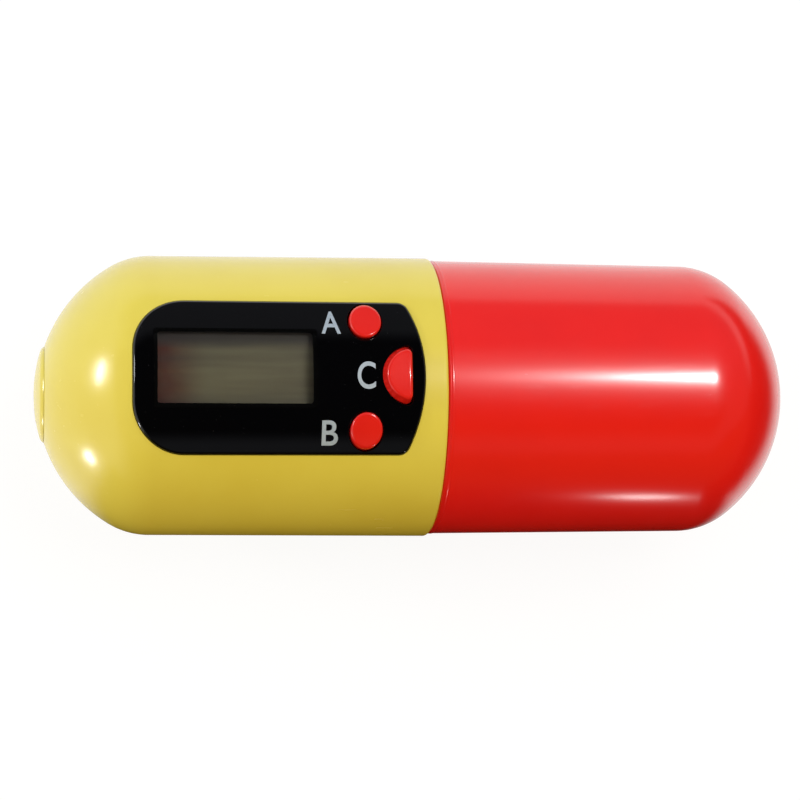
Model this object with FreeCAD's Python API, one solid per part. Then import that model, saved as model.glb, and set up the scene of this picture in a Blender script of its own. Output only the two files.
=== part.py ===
import FreeCAD, Part
import math
import os

from FreeCAD import Vector

# Pill box with timer: a capsule on the X axis, in millimetres.
# The timer half points to -X, the pill cup to +X, and the panel faces +Z.
# Pieces are drawn from the shoulder where the halves meet, on the capsule's axis,
# and moved at the end so that the capsule lies on the ground, centred on the origin.

# Capsule skin
rim_radius = 20.0
timer_length = 55.5
timer_dome_bulge = 1.27
timer_wall = 1.8
rim_round = 0.5
cup_length = 52.2
cup_step = 0.37
cup_dome_bulge = 1.87
cup_wall = 1.68
cup_mouth_round = 0.35
knuckle_radius = 11.0
draft = 0.0063
shoulder_gap = 0.05
rest_clearance = 0.06

# Front panel
panel_setback = 3.25
panel_pole_setback = 12.8
panel_half_width = 10.5
panel_corner_radius = 7.0
panel_end_radius = 24.0
panel_end_corner = 1.5
panel_thickness = 1.4
panel_proud = 0.4
panel_edge_round = 0.35
panel_gap = 0.08
panel_ledge = 1.2

# Display window
window_setback = 3.45
window_height = 9.5
window_rise = 0.85
window_corner = 0.4
window_thickness = 0.9
window_seat = 0.7
window_gap = 0.03

# Keys
key_radius = 2.25
key_margin = 3.0
key_setback = 8.1
key_height = 0.9
key_round = 0.3
key_gap = 0.2
collar_width = 0.6
collar_thickness = 0.8
collar_gap = 0.2
collar_edge_gap = 0.3
stem_radius = 1.1
stem_shift = 1.3
half_key_radius = 4.2
half_key_top_radius = 3.5
half_key_setback = 1.95
half_key_height = 1.15
half_key_stem = 2.4

# Display, board and switch domes
lcd_border = 0.8
lcd_post_gap = 0.25
lcd_thickness = 1.6
lcd_gap = 0.25
lcd_glass_step = 0.7
zebra_height = 2.75
zebra_width = 1.2
zebra_inset = 0.3
board_thickness = 1.0
board_gap = 0.4
post_radius = 1.6
post_wall = 0.8
post_key_gap = 0.25
post_edge_gap = 0.1
board_screw_length = 3.6
board_screw_head_radius = 1.5
board_screw_head_height = 1.0
screw_gap = 0.03
dome_radius = 2.2
dome_height = 1.5
dome_skirt = 0.4
dome_wall = 0.45
dome_top_radius = 1.25
dome_gap = 0.02
blob_radius = 3.5
blob_height = 1.1
blob_from_window = 11.0
crystal_radius = 1.0
crystal_length = 6.0
crystal_side = 4.0

# Sounder on the belly
buzzer_radius = 10.0
buzzer_plate_thickness = 0.25
ceramic_radius = 7.0
ceramic_thickness = 0.25
buzzer_seat_width = 1.5
buzzer_seat_gap = 0.4
buzzer_from_shoulder = 24.0
lead_radius = 0.35
lead_spread = 2.5
lead_bend = 2.0
lead_edge = 1.6
lead_foot = 2.0
lead_rise = 4.0
lead_well_gap = 2.85
lead_pitch = 3.0

# Button cells and their well
cell_radius = 5.8
cell_height = 5.4
cell_step = 0.3
cell_button_radius = 4.8
cell_gap = 0.05
well_gap = 0.2
well_wall = 1.4
cap_radius = 6.25
cap_proud = 0.35
cap_gap = 0.2
cap_seat_depth = 1.6
cap_plug_gap = 0.25
cap_plug_length = 1.0
cap_edge_round = 0.25
coin_slot_width = 1.3
coin_slot_length = 8.0
coin_slot_depth = 0.7
contact_thickness = 0.3
contact_width = 2.4
contact_slot_gap = 0.2
contact_dish_radius = 5.0
contact_flat_radius = 3.4
contact_tip_radius = 1.2
contact_height = 1.4
contact_tab_height = 4.2
contact_spacing = 2.0
contact_edge = 0.6
contact_foot_inset = 1.3

# Neck plug
plug_depth = 2.6
plug_lip = 0.45
plug_gap = 0.05
plug_recess = 0.15
plug_floor = 1.6
neck_length = 8.0
neck_wall = 1.6
neck_gap = 0.2
neck_bead = 0.1
neck_bead_half = 0.8
neck_bead_reach = 5.2
neck_tip_chamfer = 0.6
neck_floor_round = 0.6

# Screws that hold the plug
plug_screw_angles = (205.0, 270.0, 335.0)
plug_screw_inset = 0.1
plug_screw_radius = 0.95
plug_screw_head_radius = 1.9
plug_screw_head_height = 1.4
plug_screw_length = 7.5
plug_hole_gap = 0.15
boss_wall = 1.35
boss_tip = 1.5
boss_web = 1.6

# How far a joined feature is sunk into the wall that carries it, and how far a cut runs past a face
root = 0.2
past = 1.0

# Two points this close are one place, and an edge this steep is an upright one
same_place = 1e-4
upright_share = 0.9

# Derived places, measured from the shoulder on the axis
panel_right = -panel_setback
panel_left = panel_pole_setback - timer_length
panel_depth = panel_thickness - panel_proud
key_x = panel_right - key_setback
key_y = panel_half_width - key_margin
half_key_x = panel_right - half_key_setback
half_key_stem_x = half_key_x - half_key_stem
stem_y = key_y - stem_shift
board_inset = panel_ledge + board_gap
board_left = panel_left + board_inset
tall = 2 * rim_radius

# The timer half lies on a shallow flat that just keeps the cup clear of the table
rest_low = cup_step - rest_clearance - rim_radius

# Posts that carry the board: two between display and keys, one below the display
post_x = key_x - key_radius - collar_width - post_key_gap - post_radius
post_y = panel_half_width - board_inset - post_edge_gap - post_radius
far_post_x = board_left + panel_corner_radius - board_inset
post_places = ((post_x, post_y), (post_x, -post_y), (far_post_x, -post_y))

# The display fills the panel from its far end to the posts, and the window shows it within its border
window_floor = window_thickness - panel_proud
window_left = panel_left + window_setback
lcd_left = window_left - lcd_border
lcd_right = post_x - post_radius - lcd_post_gap
window_right = lcd_right - lcd_border
window_low = window_rise - window_height / 2
window_high = window_rise + window_height / 2
lcd_low = window_low - lcd_border
lcd_high = window_high + lcd_border


class HalfForm:
    """One capsule half as a family of skins: drafted side, knuckle and spherical dome.

    Reach is the distance from the shoulder towards the pole. A skin is the outer one moved in by inset.
    """

    def __init__(self, side, mouth_radius, length, dome_bulge):
        self.side = side
        self.mouth_radius = mouth_radius
        self.length = length
        self.dome_radius = mouth_radius + dome_bulge
        self.slant = math.hypot(1.0, draft)
        self.dome_reach = length - self.dome_radius
        # The knuckle's centre is one knuckle radius inside the drafted side
        # and touches the dome from within.
        centre_offset = self.dome_radius - knuckle_radius
        base = mouth_radius - knuckle_radius * self.slant
        square = 1.0 + draft ** 2
        linear = self.dome_reach + draft * base
        constant = self.dome_reach ** 2 + base ** 2 - centre_offset ** 2
        self.knuckle_reach = (linear + math.sqrt(linear ** 2 - square * constant)) / square
        self.knuckle_height = base - draft * self.knuckle_reach
        self.side_normal = Vector(draft / self.slant, 1.0 / self.slant, 0)
        to_knuckle = Vector(self.knuckle_reach - self.dome_reach, self.knuckle_height, 0)
        self.dome_normal = to_knuckle.normalize()

    def knuckle_point(self, direction, inset):
        """Point of the knuckle's arc in a direction from its centre."""
        centre = Vector(self.knuckle_reach, self.knuckle_height, 0)
        return centre + Vector(direction).normalize() * (knuckle_radius - inset)

    def dome_point(self, direction, inset):
        """Point of the dome's arc in a direction from its centre."""
        centre = Vector(self.dome_reach, 0, 0)
        return centre + Vector(direction).normalize() * (self.dome_radius - inset)

    def radius_at(self, reach, inset):
        """Radius of the skin at a distance from the shoulder."""
        if reach < self.knuckle_point(self.side_normal, inset).x:
            return self.mouth_radius - draft * reach - inset * self.slant
        if reach < self.knuckle_point(self.dome_normal, inset).x:
            run = reach - self.knuckle_reach
            return self.knuckle_height + math.sqrt((knuckle_radius - inset) ** 2 - run ** 2)
        run = reach - self.dome_reach
        return math.sqrt((self.dome_radius - inset) ** 2 - run ** 2)

    def solid(self, inset, start=0.0, mouth_round=0.0):
        """Solid inside a skin, from a start near the shoulder to the pole."""
        mouth = Vector(start, self.radius_at(start, inset), 0)
        side_end = self.knuckle_point(self.side_normal, inset)
        knuckle_middle = self.knuckle_point(self.side_normal + self.dome_normal, inset)
        dome_start = self.knuckle_point(self.dome_normal, inset)
        dome_middle = self.dome_point(self.dome_normal + Vector(1, 0, 0), inset)
        pole = self.dome_point(Vector(1, 0, 0), inset)
        edges = []
        if mouth_round > 0:
            inner = mouth - Vector(0, mouth_round, 0)
            outer = Vector(start + mouth_round, self.radius_at(start + mouth_round, inset), 0)
            bend = math.sqrt(0.5) * mouth_round
            middle = Vector(start + mouth_round - bend, inner.y + bend, 0)
            edges.append(Part.LineSegment(Vector(start, 0, 0), inner))
            edges.append(Part.Arc(inner, middle, outer))
        else:
            outer = mouth
            edges.append(Part.LineSegment(Vector(start, 0, 0), mouth))
        edges.append(Part.LineSegment(outer, side_end))
        edges.append(Part.Arc(side_end, knuckle_middle, dome_start))
        edges.append(Part.Arc(dome_start, dome_middle, pole))
        edges.append(Part.LineSegment(pole, Vector(start, 0, 0)))
        form = turned(edges)
        if self.side < 0:
            form = form.mirror(Vector(0, 0, 0), Vector(1, 0, 0))
        return form

    def height_at(self, x, y, inset):
        """Height of the skin above the axis at a plan position."""
        return math.sqrt(self.radius_at(self.side * x, inset) ** 2 - y ** 2)


def turned(edges):
    """Solid turned about the X axis from a closed outline in the XY plane."""
    outline = Part.Wire([edge.toShape() for edge in edges])
    form = Part.Face(outline).revolve(Vector(0, 0, 0), Vector(1, 0, 0), 360)
    if form.Volume < 0:
        form.reverse()
    return form


def turned_points(points):
    """Solid turned about the X axis from the corners of its half section, given as (x, radius)."""
    corners = [Vector(x, radius, 0) for x, radius in points]
    corners.append(corners[0])
    return turned([Part.LineSegment(a, b) for a, b in zip(corners, corners[1:])])


def stood_points(points, x, y, z):
    """Solid turned about a vertical axis from the corners of its half section, given as (radius, z)."""
    corners = [Vector(radius, 0, height) for radius, height in points]
    outline = Part.makePolygon(corners + corners[:1])
    form = Part.Face(outline).revolve(Vector(0, 0, 0), Vector(0, 0, 1), 360)
    if form.Volume < 0:
        form.reverse()
    form.translate(Vector(x, y, z))
    return form


def rod(radius, x_from, x_to, y=0.0, z=0.0):
    """Round bar along X."""
    return Part.makeCylinder(radius, x_to - x_from, Vector(x_from, y, z), Vector(1, 0, 0))


def post(radius, x, y, z_from, z_to):
    """Round bar along Z."""
    return Part.makeCylinder(radius, z_to - z_from, Vector(x, y, z_from), Vector(0, 0, 1))


def block(low, high):
    """Box between two corners."""
    size = Vector(*high) - Vector(*low)
    return Part.makeBox(size.x, size.y, size.z, Vector(*low))


def rounded_block(low, high, radius):
    """Box with its upright edges rounded."""
    box = block(low, high)
    upright = [edge for edge in box.Edges if abs(edge.tangentAt(edge.FirstParameter).z) > upright_share]
    return box.makeFillet(radius, upright)


def panel_prism(inset, z_from=0.0, z_to=tall):
    """Upright prism on the panel's outline moved in by inset."""
    left = panel_left + inset
    right = panel_right - inset
    half = panel_half_width - inset
    corner = panel_corner_radius - inset
    end = panel_end_radius - inset
    diagonal = corner * math.sqrt(0.5)
    corner_x = left + corner
    corner_y = half - corner
    end_x = right - end + math.sqrt(end ** 2 - half ** 2)
    edges = [
        Part.LineSegment(Vector(left, -corner_y, 0), Vector(left, corner_y, 0)),
        Part.Arc(
            Vector(left, corner_y, 0),
            Vector(corner_x - diagonal, corner_y + diagonal, 0),
            Vector(corner_x, half, 0),
        ),
        Part.LineSegment(Vector(corner_x, half, 0), Vector(end_x, half, 0)),
        Part.Arc(Vector(end_x, half, 0), Vector(right, 0, 0), Vector(end_x, -half, 0)),
        Part.LineSegment(Vector(end_x, -half, 0), Vector(corner_x, -half, 0)),
        Part.Arc(
            Vector(corner_x, -half, 0),
            Vector(corner_x - diagonal, -corner_y - diagonal, 0),
            Vector(left, -corner_y, 0),
        ),
    ]
    outline = Part.Wire([edge.toShape() for edge in edges])
    prism = Part.Face(outline).extrude(Vector(0, 0, z_to - z_from))
    sharp = [edge for edge in prism.Edges if is_upright_at(edge, end_x, half)]
    prism = prism.makeFillet(max(panel_end_corner - inset, panel_gap), sharp)
    prism.translate(Vector(0, 0, z_from))
    return prism


def is_upright_at(edge, x, half):
    """True for an upright edge at the given x and at either side."""
    middle = edge.CenterOfMass
    upright = abs(edge.tangentAt(edge.FirstParameter).z) > upright_share
    return upright and abs(middle.x - x) < same_place and abs(abs(middle.y) - half) < same_place


def skin_edges(shape, form, inset):
    """Edges of a shape that lie on a skin all along."""
    found = []
    for edge in shape.Edges:
        spots = edge.discretize(5)
        misses = [
            abs(math.hypot(spot.y, spot.z) - form.radius_at(form.side * spot.x, inset)) for spot in spots
        ]
        if max(misses) < same_place:
            found.append(edge)
    return found


def bent_strip(points, y_centre):
    """Flat spring strip bent through points of the XZ plane at right angles, centred on its path."""
    half = contact_thickness / 2
    pieces = []
    for (x_a, z_a), (x_b, z_b) in zip(points, points[1:]):
        low = (min(x_a, x_b) - half, y_centre - contact_width / 2, min(z_a, z_b) - half)
        high = (max(x_a, x_b) + half, y_centre + contact_width / 2, max(z_a, z_b) + half)
        pieces.append(block(low, high))
    return pieces[0].fuse(pieces[1:]).removeSplitter()


def wire_lead(x_low, z_low, x_high, z_high, y):
    """Thin wire that rises, swings sideways close to the sounder and rises again, in a plane across Y."""
    turn = math.atan2(abs(x_high - x_low), lead_rise)
    trim = lead_bend * math.tan(turn / 2)
    start = Vector(x_low, y, z_low)
    low_bend = Vector(x_low, y, z_low + lead_foot)
    high_bend = Vector(x_high, y, z_low + lead_foot + lead_rise)
    end = Vector(x_high, y, z_high)
    slope = (high_bend - low_bend).normalize()
    up = Vector(0, 0, 1)
    low_in = low_bend - up * trim
    low_out = low_bend + slope * trim
    high_in = high_bend - slope * trim
    high_out = high_bend + up * trim
    low_way = (slope - up).normalize()
    sag = lead_bend * (1 / math.cos(turn / 2) - 1)
    path = Part.Wire([
        Part.LineSegment(start, low_in).toShape(),
        Part.Arc(low_in, low_bend + low_way * sag, low_out).toShape(),
        Part.LineSegment(low_out, high_in).toShape(),
        Part.Arc(high_in, high_bend - low_way * sag, high_out).toShape(),
        Part.LineSegment(high_out, end).toShape(),
    ])
    ring = Part.Wire([Part.makeCircle(lead_radius, start, up)])
    return path.makePipeShell([ring], True, False)


timer_form = HalfForm(-1, rim_radius, timer_length, timer_dome_bulge)
cup_form = HalfForm(1, rim_radius - cup_step, cup_length, cup_dome_bulge)

# Heights of the display stack, hung below the panel
lcd_ends = [(x, y) for x in (lcd_left, lcd_right) for y in (lcd_low, lcd_high)]
lcd_top = min(timer_form.height_at(x, y, panel_depth) for x, y in lcd_ends) - lcd_gap
board_top = lcd_top - lcd_thickness - zebra_height
board_low = board_top - board_thickness
dome_top = board_top + dome_height

# Retaining collars lie just under the panel's inner skin
collar_side = panel_half_width - panel_ledge - collar_edge_gap
collar_top = timer_form.height_at(key_x, collar_side, panel_depth) - collar_gap
half_collar_radius = half_key_radius + collar_width
half_collar_top = timer_form.height_at(half_key_x, half_collar_radius, panel_depth) - collar_gap

# Places along the battery well, from the cap's seat inwards
seat_x = -(timer_length - cap_seat_depth)
outer_cell_x = seat_x + cap_plug_length + cell_gap
inner_cell_x = outer_cell_x + cell_height
contact_x = inner_cell_x + cell_height
well_end_x = contact_x + contact_height
well_back_x = well_end_x + well_wall
bore_radius = cell_radius + well_gap
well_radius = bore_radius + well_wall

# Places of the sounder, its disc set into the belly on a ring
buzzer_x = -buzzer_from_shoulder
buzzer_seat_radius = buzzer_radius + buzzer_seat_gap
buzzer_low = -timer_form.height_at(buzzer_x - buzzer_seat_radius, buzzer_seat_radius, timer_wall)
buzzer_top = buzzer_low + buzzer_plate_thickness

# Places of the neck plug and its screws
plug_radius = timer_form.radius_at(plug_depth, timer_wall) + plug_lip
cup_bore = cup_form.radius_at(0, cup_wall)
neck_radius = cup_bore - neck_gap
neck_bore = neck_radius - neck_wall
plug_floor_x = plug_floor - plug_depth
screw_circle = neck_bore - neck_floor_round - plug_screw_inset - plug_screw_head_radius
boss_radius = plug_screw_radius + boss_wall
boss_end_x = plug_floor_x - plug_screw_length - boss_tip
screw_places = [
    (screw_circle * math.cos(math.radians(angle)), screw_circle * math.sin(math.radians(angle)), angle)
    for angle in plug_screw_angles
]


def key_places():
    """Plan places of the two round keys, the upper one first."""
    return ((key_x, key_y), (key_x, -key_y))


def contact_slots():
    """Cuts in the battery well for the two contacts."""
    half = contact_width / 2 + contact_slot_gap
    side_slot = block(
        (outer_cell_x, -half, cell_radius / 2),
        (inner_cell_x + contact_slot_gap, half, well_radius + past),
    )
    reach = contact_thickness / 2 + contact_slot_gap
    end_slot = block(
        (well_end_x - past, -half, contact_tab_height - reach),
        (well_back_x + past, half, contact_tab_height + reach),
    )
    return [side_slot, end_slot]


def timer_shell():
    """Yellow half shell with panel seat, battery well, screw bosses and sounder seat."""
    inside = timer_form.solid(timer_wall - root, -past)
    shell = timer_form.solid(0, 0, rim_round).cut(timer_form.solid(timer_wall, -past))
    features = [rod(well_radius, -timer_length, well_back_x).common(timer_form.solid(root))]
    for y, z, angle in screw_places:
        boss = rod(boss_radius, boss_end_x, -plug_depth, y, z)
        web = block(
            (boss_end_x, 0, -boss_web / 2),
            (-plug_depth, rim_radius - screw_circle, boss_web / 2),
        )
        web.rotate(Vector(0, 0, 0), Vector(1, 0, 0), angle)
        web.translate(Vector(0, y, z))
        features.append(boss.fuse(web).common(inside))
    ring = post(buzzer_seat_radius, buzzer_x, 0, -rim_radius, buzzer_low)
    ring = ring.cut(post(buzzer_seat_radius - buzzer_seat_width, buzzer_x, 0, -rim_radius, buzzer_low))
    features.append(ring.common(inside))
    shell = shell.fuse(features)
    cuts = [
        panel_prism(-panel_gap).cut(timer_form.solid(panel_depth)),
        panel_prism(panel_ledge),
        rod(bore_radius, -timer_length - past, well_end_x),
        rod(cap_radius + cap_gap, -timer_length - past, seat_x),
        rod(plug_radius + plug_gap, -plug_depth, past),
        block((-timer_length, -rim_radius, -tall), (past, rim_radius, rest_low)),
    ]
    cuts += contact_slots()
    for x, y in key_places():
        cuts.append(post(key_radius + key_gap, x, y, board_top, tall).common(timer_form.solid(panel_depth)))
    for y, z, angle in screw_places:
        cuts.append(rod(plug_screw_radius + screw_gap, boss_end_x + boss_tip / 2, 0, y, z))
    return shell.cut(cuts).removeSplitter()


def front_panel():
    """Black curved panel with rounded edge, window rebate, key holes, display frame and board posts."""
    prism = panel_prism(0)
    panel = timer_form.solid(-panel_proud).cut(timer_form.solid(panel_depth)).common(prism)
    border = prism.Shells[0]
    brim = [
        edge for edge in skin_edges(panel, timer_form, -panel_proud)
        if border.distToShape(Part.Vertex(edge.discretize(3)[1]))[0] < same_place
    ]
    panel = panel.makeFillet(panel_edge_round, brim)
    under_panel = timer_form.solid(panel_depth - root)
    frame = block((lcd_left, lcd_low, lcd_top), (lcd_right, lcd_high, tall))
    features = [frame.common(under_panel)]
    for x, y in post_places:
        features.append(post(post_radius, x, y, board_top, tall).common(under_panel))
    panel = panel.fuse(features)
    lens = rounded_block(
        (window_left - window_seat - window_gap, window_low - window_seat - window_gap, 0),
        (window_right + window_seat + window_gap, window_high + window_seat + window_gap, tall),
        window_corner + window_gap,
    )
    cuts = [
        lens.cut(timer_form.solid(window_floor)),
        block((window_left, window_low, lcd_top - past), (window_right, window_high, tall)),
        half_key_prism(half_key_radius + key_gap, key_gap, board_top, tall),
    ]
    for x, y in key_places():
        cuts.append(post(key_radius + key_gap, x, y, board_top, tall))
    thread_radius = post_radius - post_wall + screw_gap
    for x, y in post_places:
        cuts.append(post(thread_radius, x, y, board_top - past, board_top + board_screw_length))
    return panel.cut(cuts).removeSplitter()


def display_window():
    """Clear curved window, flush with the panel's skin."""
    lens = rounded_block(
        (window_left - window_seat, window_low - window_seat, 0),
        (window_right + window_seat, window_high + window_seat, tall),
        window_corner,
    )
    return timer_form.solid(-panel_proud).cut(timer_form.solid(window_floor)).common(lens)


def round_key(sign):
    """Round keycap whose top follows the panel, with a retaining collar and a stem."""
    y = sign * key_y
    form_inset = -(panel_proud + key_height)
    cap = post(key_radius, key_x, y, collar_top - collar_thickness, tall).common(timer_form.solid(form_inset))
    cap = cap.makeFillet(key_round, skin_edges(cap, timer_form, form_inset))
    collar = post(key_radius + collar_width, key_x, y, collar_top - collar_thickness, collar_top)
    keep = block((2 * panel_left, -collar_side, 0), (0, collar_side, tall))
    stem = post(stem_radius, key_x, sign * stem_y, dome_top + dome_gap, collar_top)
    return cap.fuse([collar.common(keep), stem]).removeSplitter()


def half_key_prism(radius, flat_gap, z_from, z_to):
    """Upright half-round prism, flat towards the shoulder."""
    disc = post(radius, half_key_x, 0, z_from, z_to)
    side = block((half_key_x - 2 * radius, -2 * radius, z_from), (half_key_x + flat_gap, 2 * radius, z_to))
    return disc.common(side)


def half_key():
    """Half-moon keycap with a sloping round side, a retaining collar and a stem."""
    form_inset = -(panel_proud + half_key_height)
    foot = half_collar_top - collar_thickness
    skin = timer_form.height_at(half_key_x, 0, -panel_proud)
    taper = (half_key_radius - half_key_top_radius) / half_key_height
    crown = skin + half_key_height + past
    crown_radius = half_key_top_radius - taper * past
    slope = stood_points(
        [(0, foot), (half_key_radius, foot), (half_key_radius, skin), (crown_radius, crown), (0, crown)],
        half_key_x, 0, 0,
    )
    cap = slope.common(half_key_prism(half_key_radius, 0, foot, tall)).common(timer_form.solid(form_inset))
    cap = cap.makeFillet(key_round, [edge for edge in cap.Edges if edge.BoundBox.ZMin > skin + key_round])
    collar = half_key_prism(half_collar_radius, 0, foot, half_collar_top)
    stem = post(stem_radius, half_key_stem_x, 0, dome_top + dome_gap, half_collar_top)
    return cap.fuse([collar, stem]).removeSplitter()


def key_dome(x, y):
    """Hollow rubber switch dome on the board."""
    inner_height = dome_height - dome_wall
    profile = [
        (dome_radius, 0),
        (dome_radius, dome_skirt),
        (dome_radius - dome_wall, dome_skirt),
        (dome_top_radius, dome_height),
        (0, dome_height),
        (0, inner_height),
        (dome_top_radius - dome_wall, inner_height),
        (dome_radius - 2 * dome_wall, 0),
    ]
    return stood_points(profile, x, y, board_top)


def lcd_display():
    """Display cell: a wide upper glass on a narrower lower one."""
    half = lcd_thickness / 2
    upper = block((lcd_left, lcd_low, lcd_top - half), (lcd_right, lcd_high, lcd_top))
    lower = block(
        (lcd_left, lcd_low, lcd_top - lcd_thickness),
        (lcd_right - lcd_glass_step, lcd_high, lcd_top - half),
    )
    return upper.fuse(lower).removeSplitter()


def zebra_strips():
    """Two conductive rubber strips under the long sides of the display."""
    low_y = lcd_low + zebra_inset
    high_y = lcd_high - zebra_inset - zebra_width
    strips = []
    for y in (low_y, high_y):
        low = (lcd_left + zebra_inset, y, board_top)
        high = (lcd_right - lcd_glass_step - zebra_inset, y + zebra_width, board_top + zebra_height)
        strips.append(block(low, high))
    return Part.makeCompound(strips)


def circuit_board():
    """Board on the panel's outline, with its screw holes."""
    board = panel_prism(board_inset, board_low, board_top)
    holes = [post(post_radius - post_wall + screw_gap, x, y, board_low - past, board_top + past)
             for x, y in post_places]
    return board.cut(holes)


def board_screws():
    """Screws from under the board into the panel's posts."""
    shank = post_radius - post_wall
    screws = []
    for x, y in post_places:
        profile = [
            (0, board_low - board_screw_head_height),
            (board_screw_head_radius / 2, board_low - board_screw_head_height),
            (board_screw_head_radius, board_low - board_screw_head_height / 2),
            (board_screw_head_radius, board_low),
            (shank, board_low),
            (shank, board_top + board_screw_length - shank),
            (0, board_top + board_screw_length - shank / 2),
        ]
        screws.append(stood_points(profile, x, y, 0))
    return Part.makeCompound(screws)


def controller_blob():
    """Potted chip, a shallow dome under the board."""
    ball_radius = (blob_radius ** 2 + blob_height ** 2) / (2 * blob_height)
    centre = Vector(window_left + blob_from_window, 0, board_low + ball_radius - blob_height)
    below = post(ball_radius, centre.x, 0, board_low - ball_radius, board_low)
    return Part.makeSphere(ball_radius, centre).common(below)


def timing_crystal():
    """Small can lying under the board."""
    x = window_left + blob_from_window + blob_radius + crystal_radius
    return rod(crystal_radius, x, x + crystal_length, crystal_side, board_low - crystal_radius)


def buzzer_plate():
    """Brass plate of the sounder on its ring seat."""
    return post(buzzer_radius, buzzer_x, 0, buzzer_low, buzzer_top)


def buzzer_ceramic():
    """Ceramic disc bonded to the brass plate."""
    return post(ceramic_radius, buzzer_x, 0, buzzer_top, buzzer_top + ceramic_thickness)


def buzzer_leads():
    """Two wires from the sounder up to the board."""
    plate_x = buzzer_x - buzzer_radius + lead_edge
    ceramic_x = buzzer_x - ceramic_radius + lead_edge
    pad_x = well_back_x + lead_well_gap
    leads = [
        wire_lead(plate_x, buzzer_top, pad_x, board_low, lead_spread),
        wire_lead(ceramic_x, buzzer_top + ceramic_thickness, pad_x + lead_pitch, board_low, -lead_spread),
    ]
    return Part.makeCompound(leads)


def battery_cell(x):
    """Button cell with its can towards the cap and its smaller terminal inwards."""
    return turned_points([
        (x, 0),
        (x, cell_radius),
        (x + cell_height - cell_step, cell_radius),
        (x + cell_height - cell_step, cell_button_radius),
        (x + cell_height, cell_button_radius),
        (x + cell_height, 0),
    ])


def battery_contact_negative():
    """Dished spring on the well's end, with a strip through the end wall up to the board."""
    far = well_end_x - contact_thickness
    dish = turned_points([
        (well_end_x, contact_dish_radius),
        (far, contact_dish_radius),
        (far, contact_flat_radius),
        (contact_x + contact_thickness, contact_tip_radius),
        (contact_x, contact_tip_radius),
        (contact_x, 0),
        (contact_x + contact_thickness, 0),
        (contact_x + 2 * contact_thickness, contact_tip_radius),
        (well_end_x, contact_flat_radius),
    ])
    half = contact_thickness / 2
    rise_x = max(well_back_x + contact_thickness, board_left + contact_edge + contact_spacing)
    path = [
        (well_end_x - half, contact_tab_height),
        (rise_x, contact_tab_height),
        (rise_x, board_low - half),
    ]
    return dish.fuse(bent_strip(path, 0)).removeSplitter()


def battery_contact_positive():
    """Strip that rests on the outer cell's can and runs over the well up to the board."""
    half = contact_thickness / 2
    foot_z = cell_radius + cell_gap + half
    run_z = well_radius + contact_thickness + half
    foot_x = outer_cell_x + contact_foot_inset
    bend_x = inner_cell_x - half
    rise_x = board_left + contact_edge
    path = [(foot_x, foot_z), (bend_x, foot_z), (bend_x, run_z), (rise_x, run_z), (rise_x, board_low - half)]
    return bent_strip(path, 0)


def battery_cap():
    """Round cap on the pole that follows the dome, with a coin slot and a plug towards the cells."""
    crown = timer_form.solid(-cap_proud).common(rod(cap_radius, -timer_length - past, seat_x))
    brim = [
        edge for edge in crown.Edges
        if edge.BoundBox.XLength < same_place and edge.BoundBox.XMax < seat_x - cap_edge_round
    ]
    crown = crown.makeFillet(cap_edge_round, brim)
    plug = rod(bore_radius - cap_plug_gap, seat_x, seat_x + cap_plug_length)
    slot = block(
        (-timer_length - past, -coin_slot_length / 2, -coin_slot_width / 2),
        (-timer_length - cap_proud + coin_slot_depth, coin_slot_length / 2, coin_slot_width / 2),
    )
    return crown.fuse(plug).cut(slot).removeSplitter()


def neck_plug():
    """Bulkhead in the timer's mouth with the neck that the pill cup slides over."""
    bend = neck_floor_round * (1 - math.sqrt(0.5))
    outer = [
        Vector(-plug_depth, 0, 0),
        Vector(-plug_depth, plug_radius, 0),
        Vector(-plug_recess, plug_radius, 0),
        Vector(-plug_recess, neck_radius, 0),
        Vector(neck_bead_reach - neck_bead_half, neck_radius, 0),
        Vector(neck_bead_reach, neck_radius + neck_bead, 0),
        Vector(neck_bead_reach + neck_bead_half, neck_radius, 0),
        Vector(neck_length - neck_tip_chamfer, neck_radius, 0),
        Vector(neck_length, neck_radius - neck_tip_chamfer, 0),
        Vector(neck_length, neck_bore, 0),
        Vector(plug_floor_x + neck_floor_round, neck_bore, 0),
    ]
    floor = Vector(plug_floor_x, neck_bore - neck_floor_round, 0)
    edges = [Part.LineSegment(a, b) for a, b in zip(outer, outer[1:])]
    edges.append(Part.Arc(outer[-1], Vector(plug_floor_x + bend, neck_bore - bend, 0), floor))
    edges.append(Part.LineSegment(floor, Vector(plug_floor_x, 0, 0)))
    edges.append(Part.LineSegment(Vector(plug_floor_x, 0, 0), outer[0]))
    hole_radius = plug_screw_radius + plug_hole_gap
    holes = [rod(hole_radius, -plug_depth - past, past, y, z) for y, z, angle in screw_places]
    return turned(edges).cut(holes)


def neck_screws():
    """Pan-head screws through the plug's floor into the shell's bosses."""
    crown = plug_screw_head_height / 2
    screws = []
    for y, z, angle in screw_places:
        screw = turned_points([
            (plug_floor_x + plug_screw_head_height, 0),
            (plug_floor_x + plug_screw_head_height, plug_screw_head_radius / 2),
            (plug_floor_x + crown, plug_screw_head_radius),
            (plug_floor_x, plug_screw_head_radius),
            (plug_floor_x, plug_screw_radius),
            (plug_floor_x - plug_screw_length + plug_screw_radius, plug_screw_radius),
            (plug_floor_x - plug_screw_length, 0),
        ])
        screw.translate(Vector(0, y, z))
        screws.append(screw)
    return Part.makeCompound(screws)


def pill_cup():
    """Red cup with domed end, sliding over the neck."""
    return cup_form.solid(0, shoulder_gap, cup_mouth_round).cut(cup_form.solid(cup_wall, -past))


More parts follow.
